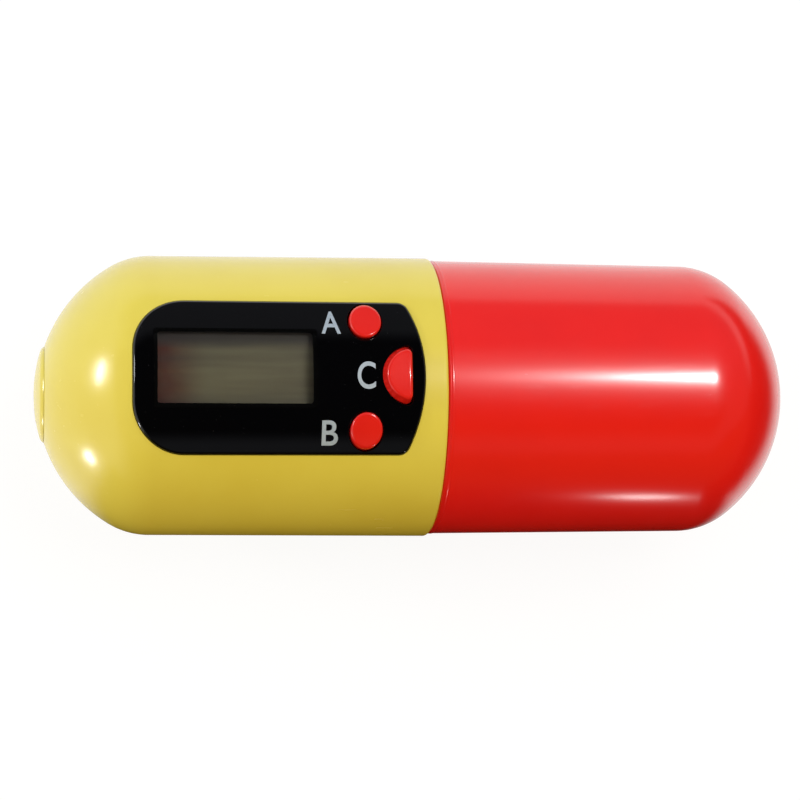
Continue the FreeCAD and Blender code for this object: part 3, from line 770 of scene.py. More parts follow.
@dataclass(frozen=True)
class CapsuleHalf:
    """One capsule half as a family of skins: drafted side, knuckle and spherical dome.

    Reach is the distance from the shoulder towards the pole. A skin is the outer one moved in by inset.
    """

    side: int
    mouth_radius: float
    length: float
    dome_bulge: float
    knuckle_radius: float = 11.0
    draft: float = 0.0063
    side_parts: int = 24
    knuckle_steps: int = 20
    dome_steps: int = 26

    @cached_property
    def dome_radius(self) -> float:
        """Radius of the dome."""
        return self.mouth_radius + self.dome_bulge

    @cached_property
    def dome_reach(self) -> float:
        """Reach of the dome's centre."""
        return self.length - self.dome_radius

    @cached_property
    def slant(self) -> float:
        """Length of the side per unit of reach."""
        return math.hypot(1.0, self.draft)

    @cached_property
    def knuckle_centre(self) -> Pair:
        """Reach and height of the knuckle's centre, which touches side and dome from within."""
        offset = self.dome_radius - self.knuckle_radius
        base = self.mouth_radius - self.knuckle_radius * self.slant
        square = 1.0 + self.draft ** 2
        linear = self.dome_reach + self.draft * base
        constant = self.dome_reach ** 2 + base ** 2 - offset ** 2
        reach = (linear + math.sqrt(linear ** 2 - square * constant)) / square
        return reach, base - self.draft * reach

    @cached_property
    def side_angle(self) -> float:
        """Direction of the side's normal, from the axis."""
        return math.atan2(1.0, self.draft)

    @cached_property
    def dome_angle(self) -> float:
        """Direction in which the knuckle meets the dome, from the axis."""
        reach, height = self.knuckle_centre
        return math.atan2(height, reach - self.dome_reach)

    def side_end(self, inset: float) -> Pair:
        """Reach and radius where the side meets the knuckle."""
        reach, height = self.knuckle_centre
        radius = self.knuckle_radius - inset
        return reach + radius * math.cos(self.side_angle), height + radius * math.sin(self.side_angle)

    def on_dome(self, angle: float, inset: float) -> Pair:
        """Reach and radius of the dome at an angle from the axis."""
        radius = self.dome_radius - inset
        return self.dome_reach + radius * math.cos(angle), radius * math.sin(angle)

    def dome_angle_at(self, radius: float, inset: float) -> float:
        """Angle from the axis at which the dome has a radius."""
        return math.asin(radius / (self.dome_radius - inset))

    def radius_at(self, reach: float, inset: float) -> float:
        """Radius of a skin at a reach."""
        knuckle_reach, knuckle_height = self.knuckle_centre
        if reach < self.side_end(inset)[0]:
            return self.mouth_radius - self.draft * reach - inset * self.slant
        run = reach - knuckle_reach
        if run < (self.knuckle_radius - inset) * math.cos(self.dome_angle):
            return knuckle_height + math.sqrt((self.knuckle_radius - inset) ** 2 - run ** 2)
        return math.sqrt((self.dome_radius - inset) ** 2 - (reach - self.dome_reach) ** 2)

    def height_at(self, x: float, y: float, inset: float) -> float:
        """Height of a skin above the axis at a plan position."""
        return math.sqrt(self.radius_at(self.side * x, inset) ** 2 - y ** 2)

    def normal_at(self, point: Vector) -> Vector:
        """Outward normal of the skin through a point, in the capsule's frame."""
        reach = self.side * point.x
        radius = math.hypot(point.y, point.z)
        knuckle_reach, knuckle_height = self.knuckle_centre
        turn = math.atan2(radius - knuckle_height, reach - knuckle_reach)
        if turn > self.side_angle:
            lean = self.side_angle
        elif turn > self.dome_angle:
            lean = turn
        else:
            lean = math.atan2(radius, reach - self.dome_reach)
        around = math.sin(lean) / max(radius, SAME_PLACE)
        return Vector((self.side * math.cos(lean), point.y * around, point.z * around))

    def draw_to_mouth(self, pen: Pen, inset: float, start: float, mouth_reach: float) -> None:
        """Draw a skin from a dome angle to the mouth.

        Args:
            pen: A pen that stands on the dome at the start angle.
            inset: The skin.
            start: Angle on the dome at which the pen stands.
            mouth_reach: Reach at which the side ends.
        """
        if start < self.dome_angle:
            pen.arc(self.dome_reach, 0.0, self.dome_angle - start, self.dome_steps)
        pen.arc(*self.knuckle_centre, self.side_angle - self.dome_angle, self.knuckle_steps)
        pen.line(mouth_reach, self.radius_at(mouth_reach, inset), self.side_parts)

    def draw_to_pole(self, pen: Pen, inset: float, end: float) -> None:
        """Draw a skin from the pen's place on the side to a dome angle."""
        pen.line(*self.side_end(inset), self.side_parts)
        pen.arc(*self.knuckle_centre, self.dome_angle - self.side_angle, self.knuckle_steps)
        pen.arc(self.dome_reach, 0.0, end - self.dome_angle, self.dome_steps)


TIMER_SKIN = CapsuleHalf(side=-1, mouth_radius=20.0, length=55.5, dome_bulge=1.27)
CUP_SKIN = CapsuleHalf(side=1, mouth_radius=19.63, length=52.2, dome_bulge=1.87)
CUP_LOW, CUP_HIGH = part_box("pill_cup")
SHOULDER = Vector((CUP_HIGH.x - CUP_SKIN.length * MM, 0.0, 0.5 * (CUP_LOW.z + CUP_HIGH.z)))
TO_FRAME = Matrix.Translation(SHOULDER) @ Matrix.Scale(MM, 4)


def new_object(name: str, data: bpy.types.ID) -> bpy.types.Object:
    """Make an object and link it into the scene."""
    item = bpy.data.objects.new(name, data)
    bpy.context.scene.collection.objects.link(item)
    return item


class Piece:
    """A mesh in the making, in millimetres on the capsule's axis."""

    round_steps = 192
    corner_steps = 6
    oval_steps = 72
    moon_steps = 56
    moon_corner_steps = 10
    bar_steps = 40
    sharp_angle = math.radians(32.0)
    skin_tolerance = 0.02

    def __init__(self, name: str) -> None:
        """Start an empty mesh under a plain name."""
        self.name = name
        self.bm: BMesh = bmesh.new()
        self.polish: list[tuple[CapsuleHalf, float]] = []

    def pen(self, x: float, y: float, z: float = 0.0, side: int = 1) -> Pen:
        """Set a pen down in this mesh."""
        return Pen(self.bm, x, y, z, side)

    def turn(self) -> None:
        """Turn the drawn half section about the X axis into a closed skin."""
        bmesh.ops.spin(
            self.bm,
            geom=self.bm.verts[:] + self.bm.edges[:],
            cent=(0.0, 0.0, 0.0),
            axis=(1.0, 0.0, 0.0),
            angle=FULL_TURN,
            steps=self.round_steps,
            use_merge=True,
            use_duplicate=False,
        )
        self.seal()

    def seal(self) -> None:
        """Merge doubles and point the faces outwards."""
        bmesh.ops.remove_doubles(self.bm, verts=self.bm.verts[:], dist=SAME_PLACE)
        bmesh.ops.recalc_face_normals(self.bm, faces=self.bm.faces[:])

    def fill(self, edges: Iterable[BMEdge]) -> BMFace:
        """Fill one loop with a face."""
        made = bmesh.ops.contextual_create(self.bm, geom=list(edges))
        return made["faces"][0]

    def fill_between(self, loops: Sequence[Sequence[BMEdge]]) -> None:
        """Fill the area inside the first loop and outside the others."""
        edges = [edge for loop in loops for edge in loop]
        bmesh.ops.triangle_fill(self.bm, use_beauty=True, use_dissolve=False, edges=edges)

    def drop_loop(self, edges: Sequence[BMEdge], depth: float) -> Loop:
        """Extrude a loop downwards into a wall and return its lower loop."""
        grown = bmesh.ops.extrude_edge_only(self.bm, edges=list(edges))["geom"]
        verts = [item for item in grown if isinstance(item, BMVert)]
        bmesh.ops.translate(self.bm, verts=verts, vec=(0.0, 0.0, -depth))
        moved = set(verts)
        return [item for item in grown if isinstance(item, BMEdge) and set(item.verts) <= moved]

    def round_over(self, face: BMFace, radius: float, steps: int) -> BMFace:
        """Round the edge of a flat cap.

        Args:
            face: The cap, whose walls stop one radius below where it will lie.
            radius: Radius of the edge.
            steps: Facets of the round.

        Returns:
            The cap, moved in and up.
        """
        for step in range(steps):
            before = QUARTER_TURN * step / steps
            after = QUARTER_TURN * (step + 1) / steps
            bmesh.ops.inset_region(
                self.bm,
                faces=[face],
                thickness=radius * (math.cos(before) - math.cos(after)),
                depth=0.0,
                use_boundary=True,
                use_even_offset=True,
            )
            rise = radius * (math.sin(after) - math.sin(before))
            bmesh.ops.translate(self.bm, verts=face.verts[:], vec=(0.0, 0.0, rise))
        return face

    def raise_cap(self, foot: Loop, depth: float, radius: float, steps: int) -> BMFace:
        """Raise a wall with a rounded upper edge to height 0.

        Args:
            foot: Loop that the wall stands on.
            depth: Height of the wall.
            radius: Radius of the upper edge.
            steps: Facets of the round.

        Returns:
            The cap on the wall.
        """
        brim = self.drop_loop(foot, radius - depth)
        return self.round_over(self.fill(brim), radius, steps)

    def move(self, turn: Matrix, shift: Sequence[float]) -> None:
        """Turn the mesh about the origin and then shift it."""
        bmesh.ops.rotate(self.bm, verts=self.bm.verts[:], matrix=turn)
        bmesh.ops.translate(self.bm, verts=self.bm.verts[:], vec=shift)

    def slice(self, axis: Axis, low: float, high: float, pitch: float) -> None:
        """Cut the mesh by parallel planes, so that it can bend.

        Args:
            axis: Direction that the planes stand across.
            low: Start of the planes.
            high: End of the planes.
            pitch: Rough distance between them.
        """
        count = max(2, round((high - low) / pitch))
        normal = Vector(axis.value)
        for step in range(1, count):
            place = low + (high - low) * step / count
            bmesh.ops.bisect_plane(
                self.bm,
                geom=self.bm.verts[:] + self.bm.edges[:] + self.bm.faces[:],
                dist=SAME_PLACE,
                plane_co=normal * place,
                plane_no=normal,
            )

    def bend(self, skin: CapsuleHalf, inset: float) -> None:
        """Lay the flat mesh on a skin: height 0 lies on it, and other heights on its neighbours."""
        for vert in self.bm.verts:
            x, y, height = vert.co
            vert.co.z = skin.height_at(x, y, inset - height)

    def bar(self, radius: float, low: Sequence[float], high: Sequence[float]) -> None:
        """Add a round bar between two points of one vertical line."""
        middle = (Vector(low) + Vector(high)) / 2
        bmesh.ops.create_cone(
            self.bm,
            cap_ends=True,
            segments=self.bar_steps,
            radius1=radius,
            radius2=radius,
            depth=(Vector(high) - Vector(low)).length,
            matrix=Matrix.Translation(middle),
        )

    def block(self, low: Sequence[float], high: Sequence[float]) -> None:
        """Add a box between two corners."""
        size = Vector(high) - Vector(low)
        middle = (Vector(high) + Vector(low)) / 2
        place = Matrix.Translation(middle) @ Matrix.Diagonal((*size, 1.0))
        bmesh.ops.create_cube(self.bm, size=1.0, matrix=place)

    def mesh(self) -> bpy.types.Mesh:
        """Turn the mesh in the making into a Blender mesh, still in millimetres."""
        made = bpy.data.meshes.new(self.name)
        self.bm.to_mesh(made)
        return made

    def carve(self, cutter: Piece) -> None:
        """Cut another closed piece out of this one."""
        target = new_object(self.name, self.mesh())
        tool = new_object(cutter.name, cutter.mesh())
        change = target.modifiers.new("carve", "BOOLEAN")
        change.operation = "DIFFERENCE"
        change.solver = "EXACT"
        change.object = tool
        result = target.evaluated_get(bpy.context.evaluated_depsgraph_get())
        carved = bpy.data.meshes.new_from_object(result)
        self.bm.clear()
        self.bm.from_mesh(carved)
        for item in (target, tool):
            spare = item.data
            bpy.data.objects.remove(item)
            bpy.data.meshes.remove(spare)
        bpy.data.meshes.remove(carved)

    def finish(
        self, finish: Finish, body: Body, slot: str, replaced: Sequence[str] = ()
    ) -> bpy.types.Object:
        """Place the piece in the frame, dress it and let it ride.

        Args:
            finish: Surface finish.
            body: Body that carries the piece.
            slot: The record's material slot; not used.
            replaced: CAD nodes that it stands for.

        Returns:
            The finished object.
        """
        bmesh.ops.triangulate(self.bm, faces=[face for face in self.bm.faces if len(face.verts) > 4])
        made = self.mesh()
        made.shade_smooth()
        made.set_sharp_from_angle(angle=self.sharp_angle)
        self._set_normals(made)
        made.transform(TO_FRAME)
        made.materials.append(finish.material())
        item = new_object(self.name, made)
        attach(item, body.value)
        if replaced:
            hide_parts(*replaced)
        LOG.info("%s: %d faces on %s", self.name, len(made.polygons), body.value)
        self.bm.free()
        return item

    def _set_normals(self, made: bpy.types.Mesh) -> None:
        """Give faces that lie on a polished skin that skin's own normals."""
        if not self.polish:
            return
        normals = [Vector((0.0, 0.0, 0.0))] * len(made.loops)
        for polygon in made.polygons:
            points = [made.vertices[index].co for index in polygon.vertices]
            for skin, inset in self.polish:
                if all(self._is_on(skin, inset, point) for point in points):
                    for loop, point in zip(polygon.loop_indices, points):
                        normals[loop] = skin.normal_at(point)
        made.normals_split_custom_set(normals)

    def _is_on(self, skin: CapsuleHalf, inset: float, point: Vector) -> bool:
        """True for a point within a hair of a skin."""
        reach = skin.side * point.x
        if not 0.0 <= reach <= skin.length - inset - self.skin_tolerance:
            return False
        return abs(math.hypot(point.y, point.z) - skin.radius_at(reach, inset)) < self.skin_tolerance

    def absorb(self, other: Piece) -> None:
        """Add another piece's mesh to this one."""
        spare = other.mesh()
        self.bm.from_mesh(spare)
        bpy.data.meshes.remove(spare)

    def rounded_rectangle(self, low: Pair, high: Pair, margin: float, corner: float, z: float) -> Loop:
        """Draw a rectangle with round corners.

        Args:
            low: Corner with the lowest X and Y.
            high: Opposite corner.
            margin: How far the rectangle is widened on each side.
            corner: Radius of its corners.
            z: Height of its plane.

        Returns:
            The edges of the loop.
        """
        left, bottom = (value - margin for value in low)
        right, top = (value + margin for value in high)
        pen = self.pen(left, bottom + corner, z)
        strokes = (
            ((left, top - corner), (left + corner, top - corner)),
            ((right - corner, top), (right - corner, top - corner)),
            ((right, bottom + corner), (right - corner, bottom + corner)),
            ((left + corner, bottom), (left + corner, bottom + corner)),
        )
        for line_end, arc_centre in strokes:
            pen.line(*line_end)
            pen.arc(*arc_centre, -QUARTER_TURN, self.corner_steps)
        return pen.close()

    def oval(self, x: float, y: float, half: Pair, z: float) -> Loop:
        """Draw an oval by its centre and half sizes, and return its edges."""
        loop = self.pen(x + half[0], y, z).arc(x, y, FULL_TURN, self.oval_steps).close()
        self.scale_loop(loop, (x, y), (1.0, half[1] / half[0]))
        return loop

    def scale_loop(self, loop: Sequence[BMEdge], centre: Pair, share: Pair) -> None:
        """Scale a loop in its plane about a centre."""
        verts = list({vert for edge in loop for vert in edge.verts})
        space = Matrix.Translation((-centre[0], -centre[1], 0.0))
        bmesh.ops.scale(self.bm, vec=(*share, 1.0), space=space, verts=verts)

    def half_moon(self, flat_x: float, radius: float, corner: float, z: float) -> Loop:
        """Draw a half moon with its flat side towards +X and round corners.

        Args:
            flat_x: Place of the flat side.
            radius: Radius of the round side.
            corner: Radius of the corners.
            z: Height of the plane.

        Returns:
            The edges of the loop.
        """
        corner_y = math.sqrt((radius - corner) ** 2 - corner ** 2)
        lean = math.atan2(corner_y, -corner)
        pen = self.pen(flat_x, -corner_y, z)
        pen.line(flat_x, corner_y)
        pen.arc(flat_x - corner, corner_y, lean, self.moon_corner_steps)
        pen.arc(flat_x, 0.0, FULL_TURN - 2.0 * lean, self.moon_steps)
        pen.arc(flat_x - corner, -corner_y, lean, self.moon_corner_steps)
        return pen.close()


@dataclass
class TimerShell:
    """Yellow half shell with rim, plug seat, battery well, panel opening and rest flat."""

    skin: CapsuleHalf = TIMER_SKIN
    wall: float = 1.8
    rim_round: float = 0.5
    rim_steps: int = 6
    seat_depth: float = 2.6
    seat_lip: float = 0.5
    cap_hole_radius: float = 6.45
    cap_seat_reach: float = 53.9
    bore_radius: float = 6.0
    well_radius: float = 7.4
    well_end_reach: float = 40.65
    well_back_reach: float = 39.25
    rest_low: float = -19.69
    opening_floor: float = 11.0

    def section(self, piece: Piece) -> None:
        """Draw the half section from the well's end wall round the skin and back."""
        start = self.skin.dome_angle_at(self.cap_hole_radius, 0.0)
        pen = piece.pen(self.well_end_reach, 0.0, side=self.skin.side)
        pen.line(self.well_end_reach, self.bore_radius)
        pen.line(self.cap_seat_reach, self.bore_radius)
        pen.line(self.cap_seat_reach, self.cap_hole_radius)
        pen.line(*self.skin.on_dome(start, 0.0))
        self.skin.draw_to_mouth(pen, 0.0, start, self.rim_round)
        rim = self.skin.radius_at(self.rim_round, 0.0) - self.rim_round
        pen.arc(self.rim_round, rim, QUARTER_TURN, self.rim_steps)
        inner = self.skin.radius_at(self.seat_depth, self.wall)
        pen.line(0.0, inner + self.seat_lip)
        pen.line(self.seat_depth, inner + self.seat_lip)
        pen.line(self.seat_depth, inner)
        self.skin.draw_to_pole(pen, self.wall, self.skin.dome_angle_at(self.well_radius, self.wall))
        pen.line(self.well_back_reach, self.well_radius)
        pen.line(self.well_back_reach, 0.0)

    def build(self, panel: FrontPanel) -> None:
        """Turn the shell and cut the panel's opening and the rest flat.

        Args:
            panel: The panel, which gives the opening's outline.
        """
        piece = Piece("yellow_shell")
        self.section(piece)
        piece.turn()
        cutter = Piece("opening")
        top = 2.0 * self.skin.mouth_radius
        loop = panel.outline(cutter, -panel.gap, self.opening_floor)
        upper = cutter.drop_loop(loop, self.opening_floor - top)
        cutter.fill(loop)
        cutter.fill(upper)
        cutter.block((-self.skin.length, -top, -top), (CUT_CLEAR, top, self.rest_low))
        cutter.seal()
        piece.carve(cutter)
        piece.polish = [(self.skin, 0.0)]
        piece.finish(YELLOW, Body.TIMER, "yellow_shell", ["timer_shell"])


@dataclass
class BatteryCap:
    """Round cap on the pole, with a thin lip over the shell, a coin slot and a plug towards the cells."""

    skin: CapsuleHalf = TIMER_SKIN
    radius: float = 6.25
    shoulder: float = 5.75
    edge_round: float = 1.2
    lip_gap: float = 0.03
    proud: float = 0.35
    seat_reach: float = 53.9
    plug_radius: float = 5.75
    plug_length: float = 1.0
    slot_width: float = 1.3
    slot_length: float = 8.0
    slot_depth: float = 0.7
    top_steps: int = 18
    edge_steps: int = 8

    def build(self) -> None:
        """Turn the cap and cut its slot."""
        piece = Piece("pole_cap")
        pole = self.skin.length + self.proud
        top_radius = self.skin.dome_radius + self.proud
        edge_centre = top_radius - self.edge_round
        lean = math.asin(self.shoulder / edge_centre)
        foot = self.skin.dome_radius + self.lip_gap
        square = foot ** 2 - edge_centre ** 2 - self.edge_round ** 2
        edge_turn = math.acos(square / (2.0 * edge_centre * self.edge_round))
        pen = piece.pen(pole, 0.0, side=self.skin.side)
        pen.arc(self.skin.dome_reach, 0.0, lean, self.top_steps)
        edge_reach = self.skin.dome_reach + edge_centre * math.cos(lean)
        pen.arc(edge_reach, self.shoulder, edge_turn, self.edge_steps)
        pen.line(*self.skin.on_dome(self.skin.dome_angle_at(self.radius, -self.lip_gap), -self.lip_gap))
        pen.line(self.seat_reach, self.radius)
        pen.line(self.seat_reach, self.plug_radius)
        pen.line(self.seat_reach - self.plug_length, self.plug_radius)
        pen.line(self.seat_reach - self.plug_length, 0.0)
        piece.turn()
        slot = Piece("coin_slot")
        slot.block(
            (-pole - CUT_CLEAR, -self.slot_length / 2, -self.slot_width / 2),
            (self.slot_depth - pole, self.slot_length / 2, self.slot_width / 2),
        )
        piece.carve(slot)
        piece.polish = [(self.skin, -self.proud)]
        piece.finish(YELLOW, Body.CAP, "yellow_shell", ["battery_cap"])


@dataclass
class PillCup:
    """Red cup with domed end."""

    skin: CapsuleHalf = CUP_SKIN
    wall: float = 1.68
    mouth_reach: float = 0.05
    mouth_round: float = 0.35
    bead_reach: float = 0.9
    bead_width: float = 0.5
    bead_height: float = 0.06
    bead_steps: int = 12
    mouth_steps: int = 6

    def build(self) -> None:
        """Turn the cup from its outer pole round the mouth to its inner pole."""
        piece = Piece("red_cup")
        lip = self.mouth_reach + self.mouth_round
        pen = piece.pen(self.skin.length, 0.0)
        self.skin.draw_to_mouth(pen, 0.0, 0.0, self.bead_reach)
        bead_radius = (self.bead_width ** 2 / 4 + self.bead_height ** 2) / (2.0 * self.bead_height)
        bead_half = math.asin(self.bead_width / (2.0 * bead_radius))
        bead_centre = self.skin.radius_at(self.bead_reach, 0.0) + self.bead_height - bead_radius
        pen.arc(self.bead_reach - self.bead_width / 2, bead_centre, 2.0 * bead_half, self.bead_steps)
        pen.line(lip, self.skin.radius_at(lip, 0.0))
        mouth_centre = self.skin.radius_at(lip, 0.0) - self.mouth_round
        pen.arc(lip, mouth_centre, QUARTER_TURN, self.mouth_steps)
        pen.line(self.mouth_reach, self.skin.radius_at(self.mouth_reach, self.wall))
        self.skin.draw_to_pole(pen, self.wall, 0.0)
        piece.turn()
        piece.polish = [(self.skin, 0.0)]
        piece.finish(RED, Body.CUP, "red_cup", ["pill_cup"])


@dataclass
class NeckPlug:
    """Bulkhead in the timer's mouth with the neck that the cup slides over, and its screws."""

    depth: float = 2.6
    plug_radius: float = 18.634
    recess: float = 0.15
    floor_x: float = -1.0
    floor_round: float = 0.6
    length: float = 8.0
    radius: float = 17.75
    bore: float = 16.15
    bead: float = 0.1
    bead_half: float = 0.8
    bead_reach: float = 5.2
    tip_chamfer: float = 0.6
    screw_circle: float = 13.55
    screw_angles: tuple[float, ...] = (205.0, 270.0, 335.0)
    screw_radius: float = 0.95
    screw_length: float = 7.5
    head_radius: float = 1.9
    head_height: float = 1.4
    head_round: float = 0.7
    cross_half: float = 1.15
    cross_width: float = 0.4
    cross_depth: float = 0.6
    floor_steps: int = 6
    head_steps: int = 8
    screw_steps: int = 48

    def build_neck(self) -> None:
        """Turn the bulkhead and its neck."""
        piece = Piece("neck")
        pen = piece.pen(-self.depth, 0.0)
        pen.line(-self.depth, self.plug_radius)
        pen.line(-self.recess, self.plug_radius)
        pen.line(-self.recess, self.radius)
        pen.line(self.bead_reach - self.bead_half, self.radius)
        pen.line(self.bead_reach, self.radius + self.bead)
        pen.line(self.bead_reach + self.bead_half, self.radius)
        pen.line(self.length - self.tip_chamfer, self.radius)
        pen.line(self.length, self.radius - self.tip_chamfer)
        pen.line(self.length, self.bore)
        pen.line(self.floor_x + self.floor_round, self.bore)
        floor_edge = self.bore - self.floor_round
        pen.arc(self.floor_x + self.floor_round, floor_edge, QUARTER_TURN, self.floor_steps)
        pen.line(self.floor_x, 0.0, self.floor_steps)
        piece.turn()
        piece.finish(YELLOW, Body.TIMER, "yellow_shell", ["neck_plug"])

    def screw(self) -> Piece:
        """Turn one pan-head screw on the axis and cut its cross."""
        piece = Piece("neck_screw")
        piece.round_steps = self.screw_steps
        top = self.floor_x + self.head_height
        pen = piece.pen(top, 0.0)
        head_edge = self.head_radius - self.head_round
        pen.line(top, head_edge)
        pen.arc(top - self.head_round, head_edge, QUARTER_TURN, self.head_steps)
        pen.line(self.floor_x, self.head_radius)
        pen.line(self.floor_x, self.screw_radius)
        pen.line(self.floor_x - self.screw_length + self.screw_radius, self.screw_radius)
        pen.line(self.floor_x - self.screw_length, 0.0)
        piece.turn()
        thin = self.cross_width / 2
        for half_y, half_z in ((self.cross_half, thin), (thin, self.cross_half)):
            arm = Piece("cross")
            arm.block((top - self.cross_depth, -half_y, -half_z), (top + CUT_CLEAR, half_y, half_z))
            piece.carve(arm)
        return piece

    def build_screws(self) -> None:
        """Set the screws round the floor."""
        group = Piece("neck_screw_set")
        for angle in self.screw_angles:
            turn = math.radians(angle)
            screw = self.screw()
            place = (0.0, self.screw_circle * math.cos(turn), self.screw_circle * math.sin(turn))
            screw.move(Matrix.Rotation(turn, 3, "X"), place)
            group.absorb(screw)
        group.finish(SCREW_STEEL, Body.TIMER, "screw_steel", ["neck_screws"])


@dataclass
class KeyDome:
    """Hollow rubber switch dome on the board, which flattens as its key goes down."""

    key: str
    radius: float = 2.2
    skirt: float = 0.4
    skirt_round: float = 0.12
    wall: float = 0.45
    height: float = 1.5
    top_radius: float = 1.25
    top_round: float = 0.25
    travel: float = 0.6
    round_steps: int = 48
    top_steps: int = 6
    skirt_steps: int = 4

    def build(self) -> None:
        """Turn the dome and stand it on the board."""
        node = "key_dome_" + self.key
        low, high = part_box(node)
        foot = Vector(((low.x + high.x) / 2, (low.y + high.y) / 2, low.z))
        piece = Piece("switch_dome_" + self.key)
        piece.round_steps = self.round_steps
        flank = self.radius - self.wall
        flank_lean = math.atan2(self.height - self.skirt, flank - self.top_radius)
        ceiling = self.height - self.wall
        pen = piece.pen(self.height, 0.0)
        top_edge = self.top_radius - self.top_round
        pen.line(self.height, top_edge)
        pen.arc(self.height - self.top_round, top_edge, flank_lean, self.top_steps)
        pen.line(self.skirt, flank)
        skirt_edge = self.radius - self.skirt_round
        pen.line(self.skirt, skirt_edge)
        pen.arc(self.skirt - self.skirt_round, skirt_edge, QUARTER_TURN, self.skirt_steps)
        pen.line(0.0, self.radius)
        pen.line(0.0, flank - self.wall)
        pen.line(ceiling, self.top_radius - self.wall)
        pen.line(ceiling, 0.0)
        piece.turn()
        piece.move(Matrix.Rotation(-QUARTER_TURN, 3, "Y"), TO_FRAME.inverted() @ foot)
        dome = piece.finish(DOME_RUBBER, Body.TIMER, "grey_rubber", [node])
        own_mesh(dome)


